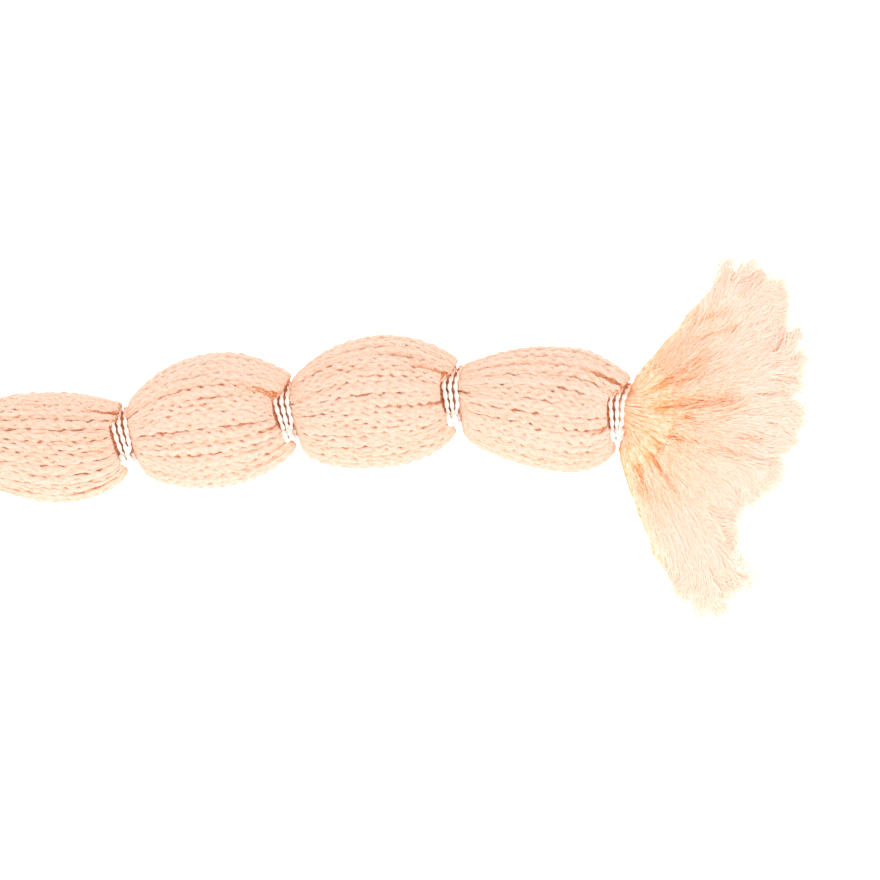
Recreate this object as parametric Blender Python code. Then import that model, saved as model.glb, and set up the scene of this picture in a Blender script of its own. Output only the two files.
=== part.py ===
"""Yarn bobble trim: a hank of soft yarn tied into four bobbles, its cut end fanned out as a tassel.

The trim lies on the ground (z = 0) along X, with the tassel at +X. The origin is on the ground
under the middle of the trim. Sizes are in millimetres here and become metres where meshes are made.
"""

import math
from collections import namedtuple

import bmesh
import bpy
import numpy as np
from mathutils import Vector

MM = 0.001
COLLECTION_NAME = "yarn_bobble_trim"
WELD_M = 1e-7
CORNER_MARK = "lock_corner"

# --- driving dimensions, millimetres and degrees ---------------------------------------------

GAP = 0.3                      # between two pieces that touch on the real trim
NECK_RADIUS = 7.0              # the hank where a tie squeezes it
NECK_HALF_LENGTH = 3.15        # straight stretch of the neck on each side of a tie's middle
PARTING = 0.15                 # half the gap between two yarn pieces under an outer tie

# The ties from left to right: the middle of each, and the heading of its axis seen from above.
Tie = namedtuple("Tie", "name x y z heading")
TIES = (
    Tie("tie_1", -115.1, -5.5, 15.4, 13.0),
    Tie("tie_2", -65.1, -0.1, 16.8, 15.0),
    Tie("tie_3", -16.3, 7.2, 18.2, 14.0),
    Tie("tie_4", 34.0, 12.3, 18.0, 7.0),
    Tie("tie_5", 84.0, 7.5, 17.0, 1.0),
)

# The bobbles between them: the height of each, and for its far (+Y) and its near (-Y) side the
# greatest reach from the hank's axis, where along the bobble that is, how slowly the side swells
# from the tie on its left, and how far it bulges past the tie on its right.
Side = namedtuple("Side", "reach fullest taper overhang")
Bobble = namedtuple("Bobble", "height far near")
BOBBLES = (
    Bobble(31.6, Side(16.4, 0.39, 0.83, 1.5), Side(17.9, 0.66, 1.36, 1.7)),
    Bobble(38.4, Side(21.3, 0.62, 0.79, 3.3), Side(19.3, 0.58, 0.65, 4.4)),
    Bobble(38.0, Side(20.6, 0.60, 0.84, 1.6), Side(19.7, 0.58, 0.50, 3.6)),
    Bobble(35.8, Side(18.4, 0.72, 0.93, 2.6), Side(19.6, 0.75, 0.63, 3.0)),
)
PRESSED = 1.1                  # how far a bobble's underside is pressed flat by its weight
LIP_RADIUS = 9.4               # where a bobble's end turns in to the recess that holds a tie
RECESS_RADIUS = 9.8
SHELL_START = 2.8              # from the left tie's middle to the bobble's left lip
SHELL_END = 2.0                # from the bobble's right lip to the right tie's middle
LEFT_END_POWER = 10            # how soon the two ends' own shape fades towards the middle
RIGHT_END_POWER = 4
SHOULDER = 2.0                 # power of the outline's two halves: 2 is an ellipse's
TOP_SOFTNESS = 1.35            # how much more slowly a bobble swells upwards than sideways

# Yarns raised in the hank's surface: every other column of points is a furrow.
HANK_COLUMNS = 56
BOBBLE_RINGS = 11
NECK_FURROW = 0.25
FURROW_DEPTH = (0.3, 1.1)      # range of the furrows at a bobble's middle
CREASE_DEPTH = 2.4             # added by the few furrows that run in from a tie
CREASE_SHARE = 0.3
FURROW_SEED = 5
PRESSED_POWER = 8              # how narrow the underside is where the furrows are pressed out
YARN_DRIFT = 5.0               # how far the yarns turn round the hank along one bobble, degrees

# Thread ties: three turns side by side, drawn together towards the knot on the near side.
THREAD = 1.65
TURNS = (-1, 0, 1)
TURN_PITCH = 1.62
TURN_CONVERGENCE = 0.14        # share by which the turns are closer at the near side, wider at the far
VALLEY_HEIGHT = 0.62           # height between two turns, as a share of the thread
PLY_RELIEF = 0.1               # how far the thread's twist stands out
TIE_STEPS = 24
KNOT_ANGLE = 138.0             # counted from the far side over the top
KNOT_SPREAD = 17.0
KNOT_HEIGHT = 1.5

# A cut end: locks in columns and layers that fan out from a head. Headings are from the end's own
# heading. Roots and tips are spread evenly over their spans, and each lock is as long as the
# outline says at its heading, times its layer's reach; the layers go from the ground up. Beyond
# the landing radius the locks lie level, the lowest on the ground.
CutEnd = namedtuple(
    "CutEnd",
    "name tie heading columns layers root_radius root_span tip_span head_half_height landing"
    " layer_pitch lock_width layer_reach outline clumps seed",
)
Reach = namedtuple("Reach", "heading length")
TASSEL_OUTLINE = (
    Reach(-75, 49.0), Reach(-68, 62.0), Reach(-62, 69.5), Reach(-51, 69.5), Reach(-47, 57.0),
    Reach(-43, 53.0), Reach(-36, 52.5), Reach(-25, 56.0), Reach(-16, 54.5), Reach(-6, 57.5),
    Reach(3, 57.0), Reach(9, 55.5), Reach(13, 60.5), Reach(22, 62.5), Reach(35, 65.5),
    Reach(46, 59.5), Reach(53, 56.0),
)
STUB_OUTLINE = (Reach(-32, 25.5), Reach(-12, 28.0), Reach(6, 27.2), Reach(32, 26.0))
CUT_ENDS = (
    CutEnd(
        name="tassel_end", tie=TIES[4], heading=0.0, columns=18, layers=6, root_radius=12.0,
        root_span=(-69.0, 48.0), tip_span=(-76.0, 55.0), head_half_height=7.6, landing=35.0,
        layer_pitch=2.1, lock_width=5.2, layer_reach=(0.93, 1.0, 1.0, 0.96, 0.9, 0.82),
        outline=TASSEL_OUTLINE, clumps=3.5, seed=11,
    ),
    CutEnd(
        name="cut_end", tie=TIES[0], heading=186.0, columns=7, layers=5, root_radius=9.5,
        root_span=(-44.0, 44.0), tip_span=(-30.0, 30.0), head_half_height=6.8, landing=20.0,
        layer_pitch=2.9, lock_width=4.0, layer_reach=(0.94, 1.0, 1.0, 0.97, 0.92),
        outline=STUB_OUTLINE, clumps=1.0, seed=23,
    ),
)
HEAD_RINGS = 3                 # rings of a head between its neck and the roots of its locks
HEAD_FLARE = 1.2
SIDE_FALL = 0.55               # how much lower a head is at its two sides
PILE_FALL = 0.3                # the same for the heap of locks
LAYER_GAP = 0.35               # air between two layers of locks
COLUMN_FILL = 0.74             # share of a column that its lock takes up
TIP_START = 0.93               # where along its length a lock starts to narrow to its tip
TIP_WIDTH = 0.45
DROOP = 1.5                    # power of the locks' way down: 1 is straight
LENGTH_JITTER = 0.05
CLUMP_SWAY = 0.3               # share by which locks draw together into clumps


# --- meshes ------------------------------------------------------------------------------------

def plan_direction(heading):
    """Unit vector over the ground at a heading in degrees."""
    angle = math.radians(heading)
    return Vector((math.cos(angle), math.sin(angle), 0.0))


def ring_point(centre, heading, angle, half_width, half_height):
    """Point of a ring that stands across a heading; angle 0 is its left side, 90 its top."""
    across = plan_direction(heading + 90.0)
    turn = math.radians(angle)
    point = centre + across * (half_width * math.cos(turn))
    return point + Vector((0.0, 0.0, half_height * math.sin(turn)))


def wrapped_grid(columns, rows, place):
    """Mesh of a grid whose two sides meet, with each point set by place(column, row)."""
    mesh = bmesh.new()
    bmesh.ops.create_grid(mesh, x_segments=columns, y_segments=rows, size=1.0)
    for index, vert in enumerate(mesh.verts):
        row, column = divmod(index, columns + 1)
        vert.co = place(column % columns, row) * MM
    bmesh.ops.remove_doubles(mesh, verts=mesh.verts[:], dist=WELD_M)
    return mesh


def close_holes(mesh):
    """Fill every open edge loop with one flat face."""
    open_edges = [edge for edge in mesh.edges if edge.is_boundary]
    bmesh.ops.holes_fill(mesh, edges=open_edges, sides=0)


def add_object(name, mesh, material, location=(0.0, 0.0, 0.0), heading=0.0):
    """Turn a bmesh into an object of the trim's collection."""
    bmesh.ops.recalc_face_normals(mesh, faces=mesh.faces[:])
    data = bpy.data.meshes.new(name)
    mesh.to_mesh(data)
    mesh.free()
    data.materials.append(material)
    data.shade_smooth()
    data.set_sharp_from_angle(angle=math.radians(50.0))
    piece = bpy.data.objects.new(name, data)
    piece.location = Vector(location) * MM
    piece.rotation_euler.z = math.radians(heading)
    bpy.data.collections[COLLECTION_NAME].objects.link(piece)
    return piece


def make_material(name, colour, roughness):
    """Plain cloth material: linear colour, no metal."""
    material = bpy.data.materials.new(name)
    material.use_nodes = True
    shader = material.node_tree.nodes["Principled BSDF"]
    shader.inputs["Base Color"].default_value = (*colour, 1.0)
    shader.inputs["Roughness"].default_value = roughness
    shader.inputs["Metallic"].default_value = 0.0
    return material


# --- yarn bundle ---------------------------------------------------------------------------------

def fullness(along, fullest, taper):
    """0 at both lips of a bobble and 1 where it is fullest; along runs from 0 to 1."""
    if along < fullest:
        return (1.0 - ((fullest - along) / fullest) ** SHOULDER) ** taper
    return (1.0 - ((along - fullest) / (1.0 - fullest)) ** SHOULDER) ** (1.0 / SHOULDER)


def neck_point(tie, distance):
    """Point on a tie's own axis, at a distance along it from the tie's middle."""
    return Vector((tie.x, tie.y, tie.z)) + plan_direction(tie.heading) * distance


Ring = namedtuple("Ring", "centre heading half_width half_height bobble along full past_far past_near")


def recess_rings(tie, side, bobble):
    """The flat end wall of a bobble beside its tie: its foot on the neck and its rim."""
    along = 0.5 - 0.5 * side
    wall = neck_point(tie, side * NECK_HALF_LENGTH)
    foot = Ring(wall, tie.heading, NECK_RADIUS, NECK_RADIUS, bobble, along, 0.0, 0.0, 0.0)
    rim = Ring(wall, tie.heading, RECESS_RADIUS, RECESS_RADIUS, bobble, along, 0.0, 0.0, 0.0)
    return [foot, rim] if side > 0 else [rim, foot]


def shell_ring(number, along):
    """One ring of a bobble's swollen stretch between its two lips."""
    left, right, shape = TIES[number], TIES[number + 1], BOBBLES[number]
    start = neck_point(left, SHELL_START)
    run = neck_point(right, -SHELL_END) - start
    axis = math.degrees(math.atan2(run.y, run.x))
    at_left = max(0.0, 1.0 - 2.0 * along) ** LEFT_END_POWER
    at_right = max(0.0, 2.0 * along - 1.0) ** RIGHT_END_POWER
    heading = axis + (left.heading - axis) * at_left + (right.heading - axis) * at_right
    far = fullness(along, shape.far.fullest, shape.far.taper)
    near = fullness(along, shape.near.fullest, shape.near.taper)
    far_swell = (shape.far.reach - LIP_RADIUS) * far
    near_swell = (shape.near.reach - LIP_RADIUS) * near
    full = (far + near) / 2.0
    lift = shape.height / 2.0 - PRESSED - (left.z + right.z) / 2.0
    centre = start + run * along
    centre += plan_direction(heading + 90.0) * ((far_swell - near_swell) / 2.0)
    centre.z += lift * math.sin(math.pi * along) ** 2
    half_width = LIP_RADIUS + (far_swell + near_swell) / 2.0
    half_height = LIP_RADIUS + (shape.height / 2.0 - LIP_RADIUS) * full ** TOP_SOFTNESS
    past_far, past_near = shape.far.overhang * at_right, shape.near.overhang * at_right
    return Ring(centre, heading, half_width, half_height, number, along, full, past_far, past_near)


def bobble_rings(number):
    """Rings of one bobble, from the neck at its left tie to the neck at its right tie."""
    steps = [0.5 - 0.5 * math.cos(math.pi * step / BOBBLE_RINGS) for step in range(1, BOBBLE_RINGS)]
    shell = [shell_ring(number, along) for along in steps]
    return recess_rings(TIES[number], 1, number) + shell + recess_rings(TIES[number + 1], -1, number)


def furrow_tables():
    """Depth of each furrow at each bobble's middle, and what a crease adds near the ties."""
    random = np.random.default_rng(FURROW_SEED)
    depth = random.uniform(*FURROW_DEPTH, size=(len(BOBBLES), HANK_COLUMNS))
    crease = random.random((len(BOBBLES), HANK_COLUMNS)) < CREASE_SHARE
    is_furrow = np.arange(HANK_COLUMNS) % 2
    return depth * is_furrow, crease * CREASE_DEPTH * is_furrow


def make_bundle(material):
    """The hank from the first tie to the last: four bobbles and the necks between them."""
    depth, crease = furrow_tables()
    first, last, final = TIES[0], TIES[-1], len(BOBBLES) - 1
    start, end = neck_point(first, PARTING), neck_point(last, -PARTING)
    rings = [Ring(start, first.heading, NECK_RADIUS, NECK_RADIUS, 0, 0.0, 0.0, 0.0, 0.0)]
    for number in range(len(BOBBLES)):
        rings += bobble_rings(number)
    rings.append(Ring(end, last.heading, NECK_RADIUS, NECK_RADIUS, final, 1.0, 0.0, 0.0, 0.0))

    def place(column, row):
        ring = rings[row]
        angle = 360.0 * column / HANK_COLUMNS + YARN_DRIFT * (ring.along - 0.5) * ring.full
        sideways = math.cos(math.radians(angle))
        underneath = max(0.0, -math.sin(math.radians(angle)))
        near_tie = (2.0 * ring.along - 1.0) ** 2
        furrow = depth[ring.bobble, column] + crease[ring.bobble, column] * near_tie
        inward = NECK_FURROW * (column % 2) + furrow * ring.full
        inward *= 1.0 - underneath ** PRESSED_POWER
        point = ring_point(
            ring.centre, ring.heading, angle, ring.half_width - inward, ring.half_height - inward
        )
        past = ring.past_far if sideways > 0.0 else ring.past_near
        point += plan_direction(ring.heading) * (past * sideways ** 2)
        point.z = max(point.z, 0.0)
        return point

    mesh = wrapped_grid(HANK_COLUMNS, len(rings) - 1, place)
    close_holes(mesh)
    return add_object("yarn_bundle", mesh, material)


# --- thread ties -----------------------------------------------------------------------------------

SectionPoint = namedtuple("SectionPoint", "turn lean")


def thread_section():
    """Outer side of three turns side by side: each point's turn and its angle round the thread.

    A point with no angle is the valley after its turn.
    """
    outline = [SectionPoint(TURNS[0], 180)]
    for turn in TURNS:
        outline += [SectionPoint(turn, 120), SectionPoint(turn, 60), SectionPoint(turn, None)]
    outline[-1] = SectionPoint(TURNS[-1], 0)
    return outline


def make_tie(tie, material):
    """Three turns of thread round a neck as one ridged ring, with the knot at its near side."""
    outline = thread_section()
    radius = THREAD / 2.0
    inner = (NECK_RADIUS + GAP) / math.cos(math.pi / TIE_STEPS)
    half_base = TURN_PITCH * (1.0 - TURN_CONVERGENCE) + radius / 2.0

    def place(row, step):
        turned = 360.0 * (step % TIE_STEPS) / TIE_STEPS
        from_knot = turned - KNOT_ANGLE
        knot = KNOT_HEIGHT * math.exp(-(from_knot / KNOT_SPREAD) ** 2)
        pitch = TURN_PITCH * (1.0 + TURN_CONVERGENCE * math.cos(math.radians(turned)))
        if row >= len(outline):
            axial = half_base if row == len(outline) else -half_base
            radial = inner
        elif outline[row].lean is None:
            axial = (outline[row].turn + 0.5) * pitch
            radial = inner + VALLEY_HEIGHT * THREAD + knot
        else:
            turn, lean = outline[row]
            rise = math.sin(math.radians(lean))
            ply = PLY_RELIEF * (-1) ** (step + turn + lean // 60)
            axial = turn * pitch + radius * math.cos(math.radians(lean))
            radial = inner + radius * (1.0 + rise) + (ply + knot) * rise
        angle = math.radians(turned)
        return Vector((axial, radial * math.cos(angle), radial * math.sin(angle)))

    mesh = wrapped_grid(len(outline) + 2, TIE_STEPS, place)
    return add_object(tie.name, mesh, material, (tie.x, tie.y, tie.z), tie.heading)


# --- cut ends ----------------------------------------------------------------------------------------

class Fan:
    """Where one cut end's head and locks run: x and y from its tie's middle, z from the ground.

    Across goes from -1 to 1 over the columns of locks, and up from -1 to 1 over their layers.
    """

    def __init__(self, end):
        self.end = end
        random = np.random.default_rng(end.seed)
        spread = (end.columns, end.layers)
        self.length_scale = 1.0 + random.uniform(-LENGTH_JITTER, LENGTH_JITTER, spread)
        self.phase = random.uniform(0.0, 2.0 * math.pi, end.layers)
        # A ring's angles are counted from +Y, so a neck that leaves its tie to the left is
        # turned half round.
        backwards = math.cos(math.radians(end.heading - end.tie.heading)) < 0.0
        self.neck_heading = end.tie.heading + (180.0 if backwards else 0.0)

    def root_heading(self, across):
        """Heading at which a column's roots leave the head."""
        low, high = self.end.root_span
        return low + (high - low) * (across + 1.0) / 2.0

    def tip_heading(self, across, layer):
        """Heading of a column's tips, drawn towards the middle of their clump."""
        low, high = self.end.tip_span
        waves = math.pi * self.end.clumps
        sway = CLUMP_SWAY / waves * math.sin(waves * across + self.phase[layer])
        return low + (high - low) * (across + sway + 1.0) / 2.0

    def root_height(self, across, up):
        """Height of the head's outer face, which is lower at its two sides."""
        roundness = math.sqrt(1.0 - SIDE_FALL * across * across)
        return self.end.tie.z + up * self.end.head_half_height * roundness

    def face_point(self, across, up):
        """Point of the head's outer face, where the locks are rooted."""
        heading = self.end.heading + self.root_heading(across)
        point = plan_direction(heading) * self.end.root_radius
        point.z = self.root_height(across, up)
        return point

    def neck_point(self, across, up, distance):
        """Point of the round neck that belongs to a point on the rim of the outer face."""
        columns, layers = self.end.columns, self.end.layers
        if up == -1.0:
            place = (across + 1.0) / 2.0 * columns
        elif across == 1.0:
            place = columns + (up + 1.0) / 2.0 * layers
        elif up == 1.0:
            place = columns + layers + (1.0 - across) / 2.0 * columns
        else:
            place = 2 * columns + layers + (1.0 - up) / 2.0 * layers
        turn = 360.0 * (place - columns / 2.0) / (2 * (columns + layers)) - 90.0
        centre = plan_direction(self.neck_heading) * distance
        centre.z = self.end.tie.z
        return ring_point(centre, self.neck_heading, turn, NECK_RADIUS, NECK_RADIUS)

    def head_point(self, across, up, ring):
        """Point of one of the head's rings; ring 0 is its flat end under the tie."""
        if ring == 0:
            return self.neck_point(across, up, PARTING)
        share = ((ring - 1) / HEAD_RINGS) ** HEAD_FLARE
        return self.neck_point(across, up, NECK_HALF_LENGTH).lerp(self.face_point(across, up), share)

    def lock_length(self, column, layer):
        """Distance from the tie's middle to a lock's tip."""
        heading = self.tip_heading((2 * column + 1) / self.end.columns - 1.0, layer)
        headings = [row.heading for row in self.end.outline]
        lengths = [row.length for row in self.end.outline]
        full = float(np.interp(heading, headings, lengths))
        return full * self.end.layer_reach[layer] * self.length_scale[column, layer]

    def lock_corner(self, place, side, top, radius, narrow):
        """Corner of a lock's section at a radius; side and top are -1 or 1."""
        end = self.end
        column, layer = place
        step = 1.0 / end.columns
        across = (2 * column + 1) * step - 1.0
        up = (2 * layer + 1) / end.layers - 1.0
        reach = self.lock_length(column, layer)
        share = (radius - end.root_radius) / (reach - end.root_radius)
        right, middle, left = (
            (1.0 - share) * self.root_heading(spot) + share * self.tip_heading(spot, layer)
            for spot in (across - step, across, across + step)
        )
        width = narrow * min(COLUMN_FILL * radius * math.radians(left - right), end.lock_width)
        pitch = end.layer_pitch * (1.0 - PILE_FALL * across * across)
        thickness = pitch - LAYER_GAP
        lying = pitch * layer + thickness / 2.0
        fall = max(0.0, (end.landing - radius) / (end.landing - end.root_radius)) ** DROOP
        out = plan_direction(end.heading + middle)
        aside = Vector((-out.y, out.x, 0.0))
        point = out * radius + aside * (side * width / 2.0)
        point.z = lying + (self.root_height(across, up) - lying) * fall + top * thickness / 2.0
        return point


def mark_corners(cells, mark, end):
    """Number the vertices of the cells and list what each is: its lock's column and layer, then
    its side and top, which are -1 or 1."""
    corners = []
    for cell in cells:
        centre = cell.calc_center_median()
        column = int((centre.x + 1.0) / 2.0 * end.columns)
        layer = int((centre.y + 1.0) / 2.0 * end.layers)
        for vert in cell.verts:
            vert[mark] = len(corners)
            side = math.copysign(1.0, vert.co.x - centre.x)
            top = math.copysign(1.0, vert.co.y - centre.y)
            corners.append(((column, layer), side, top))
    return corners


def grow_head(mesh, fan, rim, edges):
    """Extrude the outer face's rim back to the neck, and close the neck under the tie."""
    for ring in range(HEAD_RINGS, -1, -1):
        grown = bmesh.ops.extrude_edge_only(mesh, edges=edges)["geom"]
        verts = [item for item in grown if isinstance(item, bmesh.types.BMVert)]
        edges = [item for item in grown if isinstance(item, bmesh.types.BMEdge) and item.is_boundary]
        next_rim = {}
        for vert in verts:
            neighbours = [edge.other_vert(vert) for edge in vert.link_edges]
            behind = next(other for other in neighbours if other in rim)
            next_rim[vert] = rim[behind]
            vert.co = fan.head_point(*rim[behind], ring) * MM
        rim = next_rim
    close_holes(mesh)


def grow_locks(mesh, fan, cells, mark, corners):
    """Extrude each root into a lock: it droops, lands, lies level and narrows to its tip."""
    end = fan.end
    halfway = (end.root_radius + end.landing) / 2.0
    for stage in range(4):
        cells = bmesh.ops.extrude_discrete_faces(mesh, faces=cells)["faces"]
        for vert in (vert for cell in cells for vert in cell.verts):
            place, side, top = corners[vert[mark]]
            reach = fan.lock_length(*place)
            radius = (halfway, end.landing, reach * TIP_START, reach)[stage]
            narrow = (1.0, 1.0, 1.0, TIP_WIDTH)[stage]
            vert.co = fan.lock_corner(place, side, top, radius, narrow) * MM


def make_cut_end(end, material):
    """A head that starts under its tie, with the locks that grow from its outer face."""
    fan = Fan(end)
    mesh = bmesh.new()
    mark = mesh.verts.layers.int.new(CORNER_MARK)
    bmesh.ops.create_grid(mesh, x_segments=end.columns, y_segments=end.layers, size=1.0)
    cells = mesh.faces[:]
    bmesh.ops.inset_individual(mesh, faces=cells, thickness=(1.0 - COLUMN_FILL) / end.columns)
    corners = mark_corners(cells, mark, end)
    rim_edges = [edge for edge in mesh.edges if edge.is_boundary]
    rim = {
        vert: (round(vert.co.x, 5), round(vert.co.y, 5))
        for edge in rim_edges
        for vert in edge.verts
    }
    for vert in mesh.verts:
        vert.co = fan.face_point(vert.co.x, vert.co.y) * MM
    grow_head(mesh, fan, rim, rim_edges)
    grow_locks(mesh, fan, cells, mark, corners)
    return add_object(end.name, mesh, material, (end.tie.x, end.tie.y, 0.0))


# --- the trim ------------------------------------------------------------------------------------------

def clear_scene():
    """Start from an empty scene."""
    for item in list(bpy.data.objects):
        bpy.data.objects.remove(item)


def main():
    clear_scene()
    bpy.context.scene.collection.children.link(bpy.data.collections.new(COLLECTION_NAME))
    bobble_yarn = make_material("peach yarn", (0.95, 0.65, 0.46), 0.95)
    tassel_yarn = make_material("brushed peach yarn", (0.97, 0.76, 0.60), 0.95)
    cotton = make_material("white cotton thread", (0.95, 0.93, 0.88), 0.85)
    make_bundle(bobble_yarn)
    for end in CUT_ENDS:
        make_cut_end(end, tassel_yarn)
    for tie in TIES:
        make_tie(tie, cotton)


main()
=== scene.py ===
"""Looks of the yarn bobble trim: two-ply yarns, thread ties and a brushed tassel on a white table."""

import math
from collections import namedtuple

import bmesh
import bpy
import numpy as np
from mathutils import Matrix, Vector


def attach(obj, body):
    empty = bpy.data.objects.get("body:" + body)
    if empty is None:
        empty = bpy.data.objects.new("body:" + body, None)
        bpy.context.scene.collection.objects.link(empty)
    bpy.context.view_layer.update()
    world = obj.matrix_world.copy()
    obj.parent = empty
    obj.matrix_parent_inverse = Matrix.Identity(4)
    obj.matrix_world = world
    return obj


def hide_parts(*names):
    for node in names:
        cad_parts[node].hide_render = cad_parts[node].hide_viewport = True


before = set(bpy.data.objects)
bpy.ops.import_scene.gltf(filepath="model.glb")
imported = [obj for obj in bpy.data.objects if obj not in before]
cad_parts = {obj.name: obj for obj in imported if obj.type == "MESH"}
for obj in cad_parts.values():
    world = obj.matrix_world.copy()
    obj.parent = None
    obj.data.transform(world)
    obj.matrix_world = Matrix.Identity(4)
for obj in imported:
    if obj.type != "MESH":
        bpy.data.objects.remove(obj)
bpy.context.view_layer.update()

MM = 0.001
BODY = "root"
UP = np.array([0.0, 0.0, 1.0])
FULL_TURN = 2.0 * np.pi
ANY_PHASE = (0.0, 6.0)         # radians at which a wave or a twist may start

# --- the trim's form, millimetres and degrees ----------------------------------------------------

NECK_RADIUS = 7.0              # the hank where a tie squeezes it
PARTING = 0.15                 # half the gap between two yarn pieces under an outer tie
NECK_END = 3.15                # from a tie's middle to the end of the straight neck

# Ties from left to right: middle, heading of the hank there, and how far its far side bends on.
Tie = namedtuple("Tie", "name x y z heading bend")
TIES = (
    Tie("tie_1", -115.1, -5.5, 15.4, 13.0, 1.0),
    Tie("tie_2", -65.1, -0.1, 16.8, 15.0, 1.2),
    Tie("tie_3", -16.3, 7.2, 18.2, 14.0, 2.0),
    Tie("tie_4", 34.0, 12.3, 18.0, 7.0, 2.5),
    Tie("tie_5", 84.0, 7.5, 17.0, 1.0, 2.8),
)
BEND_START = 0.3               # cosine of the angle round the hank where the bend starts
BEND_RISE = 1.5                # power by which it grows from there to the far side
BEND_POWER = 6                 # power by which it fades along a bobble

# Bobbles: height, and for the far and the near side its greatest reach from the axis, where along
# the bobble that is, how slowly it swells from the left tie, and how far it bulges past the right one.
Side = namedtuple("Side", "reach fullest taper overhang")
Bobble = namedtuple("Bobble", "height far near")
BOBBLES = (
    Bobble(31.6, Side(16.4, 0.39, 0.83, 1.5), Side(17.9, 0.66, 1.36, 1.7)),
    Bobble(38.4, Side(21.3, 0.62, 0.79, 3.3), Side(19.3, 0.58, 0.65, 4.4)),
    Bobble(38.0, Side(20.6, 0.60, 0.84, 1.6), Side(19.7, 0.58, 0.50, 3.6)),
    Bobble(35.8, Side(18.4, 0.72, 0.93, 2.6), Side(19.6, 0.75, 0.63, 3.0)),
)
PRESSED = 1.1                  # how much of a bobble's underside its weight presses flat
LIP_RADIUS = 9.2               # where a bobble's end turns in to its tie, at the sides
LIP_HEIGHT = 8.2               # and over the top
SHELL_START = 2.8              # from the left tie's middle to a bobble's first section
SHELL_END = 2.0                # and from its last section to the right tie's middle
LEFT_END_POWER = 10            # how soon its sections turn away from the left tie's heading
RIGHT_END_POWER = 4            # and how late they take up the right tie's
SHOULDER = 2.0                 # power that rounds a bobble's swelling
TOP_SOFTNESS = 1.35            # power by which its height follows the swelling of its sides
FAR_COVER = 2.8                # how far a bobble's far lobes reach on over its right tie
FAR_COVER_COSINES = (0.42, 0.62)    # of the angles round the hank where that starts and is full
FAR_COVER_POWER = 4            # power by which it grows towards the tie

# Furrows between the ridges of yarn, every other column of the skin.
HANK_COLUMNS = 56
NECK_FURROW = 0.25             # depth of all furrows, which is left in the necks too
FURROW_DEPTH = (0.3, 1.1)      # what a furrow gains where its bobble is fullest
CREASE_DEPTH = 2.4             # what a crease adds to it near the ties
CREASE_SHARE = 0.3             # of the furrows that have a crease
FURROW_SEED = 5
FURROW_SHARE = 0.4             # of a furrow's depth that the fluff of the yarns leaves open
PRESSED_POWER = 8              # how narrow the underside is where furrows are pressed flat
YARN_DRIFT = 5.0               # degrees by which yarns lean round a bobble from tie to tie

# The way out of a neck: distance from the tie's middle, half width and half height.
NECK_PROFILE = np.array(
    [(PARTING, 7.0, 7.0), (1.4, 7.0, 7.0), (2.5, 7.05, 7.0), (3.1, 7.9, 7.2), (3.25, 9.0, 7.5)]
)
SHELL_ROWS = 44
SHELL_MARGIN = 0.0005          # share of a bobble's run at each end that the neck profile covers

# --- how open yarn lies to the light -------------------------------------------------------------

# Openness runs from 0 deep between the yarns to 1 on their tops; it picks the material's colour as
# painted shade and light.
NECK_OPENNESS = 0.1            # of a bobble's yarns under a tie
LIP_OPENNESS = 0.65            # what they gain up to the bobble's lip
SWELL_OPENNESS = 0.15          # and beyond it, between these values of its fullness
SWELL_FULLNESS = (0.02, 0.4)
FURROW_DIM = 0.1               # painted shade: what a millimetre of furrow takes away
PARTING_DIM = 0.7              # a millimetre of parting
DEPTH_DIM = 0.2                # and a millimetre by which a yarn lies deeper than the next
YARN_VARIETY = 0.08            # how much one yarn differs from another
CORE_OPENNESS = 0.12           # of the inner yarns, painted darker as shade
CORE_GAIN = 0.25               # and what they gain where their bobble is fullest
HAIR_OPENNESS = 0.92
TURN_OPENNESS = 0.95           # of the turns of a tie
KNOT_OPENNESS = 1.0

# Painted shade: how much darker the sides of a tube are than its top, and the height where it has its
# own openness.
YARN_SHADE = 0.4
TASSEL_SHADE = 0.45
TURN_SHADE = 0.5
KNOT_SHADE = 0.15
SOFT_SHADE = 0.16              # of hairs, locks and fibres
SHADE_MIDDLE = 0.6

# In a cut end, openness paints shade and light: at the bottom of its heap, what its top adds, what the
# way out adds and between which distances from the tie, and what a millimetre of cleft takes away.
Openness = namedtuple("Openness", "base top out reach cleft")
TASSEL_OPENNESS = Openness(0.4, 0.16, 0.2, (8.0, 34.0), 0.42)
STUB_OPENNESS = Openness(0.62, 0.16, 0.2, (8.0, 34.0), 0.42)
LOCK_OPENNESS = Openness(0.2, 0.2, 0.45, (15.0, 55.0), 0.3)
FIBRE_OPENNESS = Openness(0.56, 0.0, 0.42, (14.0, 52.0), 0.42)
TIE_SHADOW = (-10.0, 12.0)     # from the tie's middle, where its painted shadow on a head fades out
FAN_VARIETY = 0.1              # how much one yarn of a cut end differs from another
FIBRE_VARIETY = 0.08

# --- yarns of the bobbles ------------------------------------------------------------------------

YARNS = 84                     # round each bobble
YARN_POINTS = 85
YARN_SIDES = 6
YARN_FILL = 0.92               # half width of a yarn, as a share of the room that it has
YARN_HALF_WIDTH = (0.45, 1.4)
YARN_FLATNESS = 0.80
YARN_SINK = 0.75               # how deep a yarn's middle lies under the skin, in half heights
YARN_LUMP = 0.10               # how much thicker and thinner it gets along its run
LUMP_RUN = 3.0                 # how fast that changes
YARN_SMOOTHING = 5             # rounds that take the corners off its path
PLY_LEAD = 6.8                 # length of one full turn of the two plies
PLY_PHASE = 3.0                # sets each yarn's plies at an angle of their own
PLY_WAIST = 0.56               # thickness between the two plies, as a share of their width
FIBRE_LEAD = -4.6              # length of one turn of the fibres' own twist in a ply
CRIMP = 0.28                   # how far a crimped yarn swings sideways
CRIMP_RISE = 0.7               # of that swing, up and down
CRIMP_BEAT = 1.3               # waves up and down to each wave sideways
CRIMP_LENGTH = (4.0, 7.0)      # of a wave
CRIMP_ROOM = (0.6, 1.3)        # room of a yarn at which its crimp starts and is full
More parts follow.
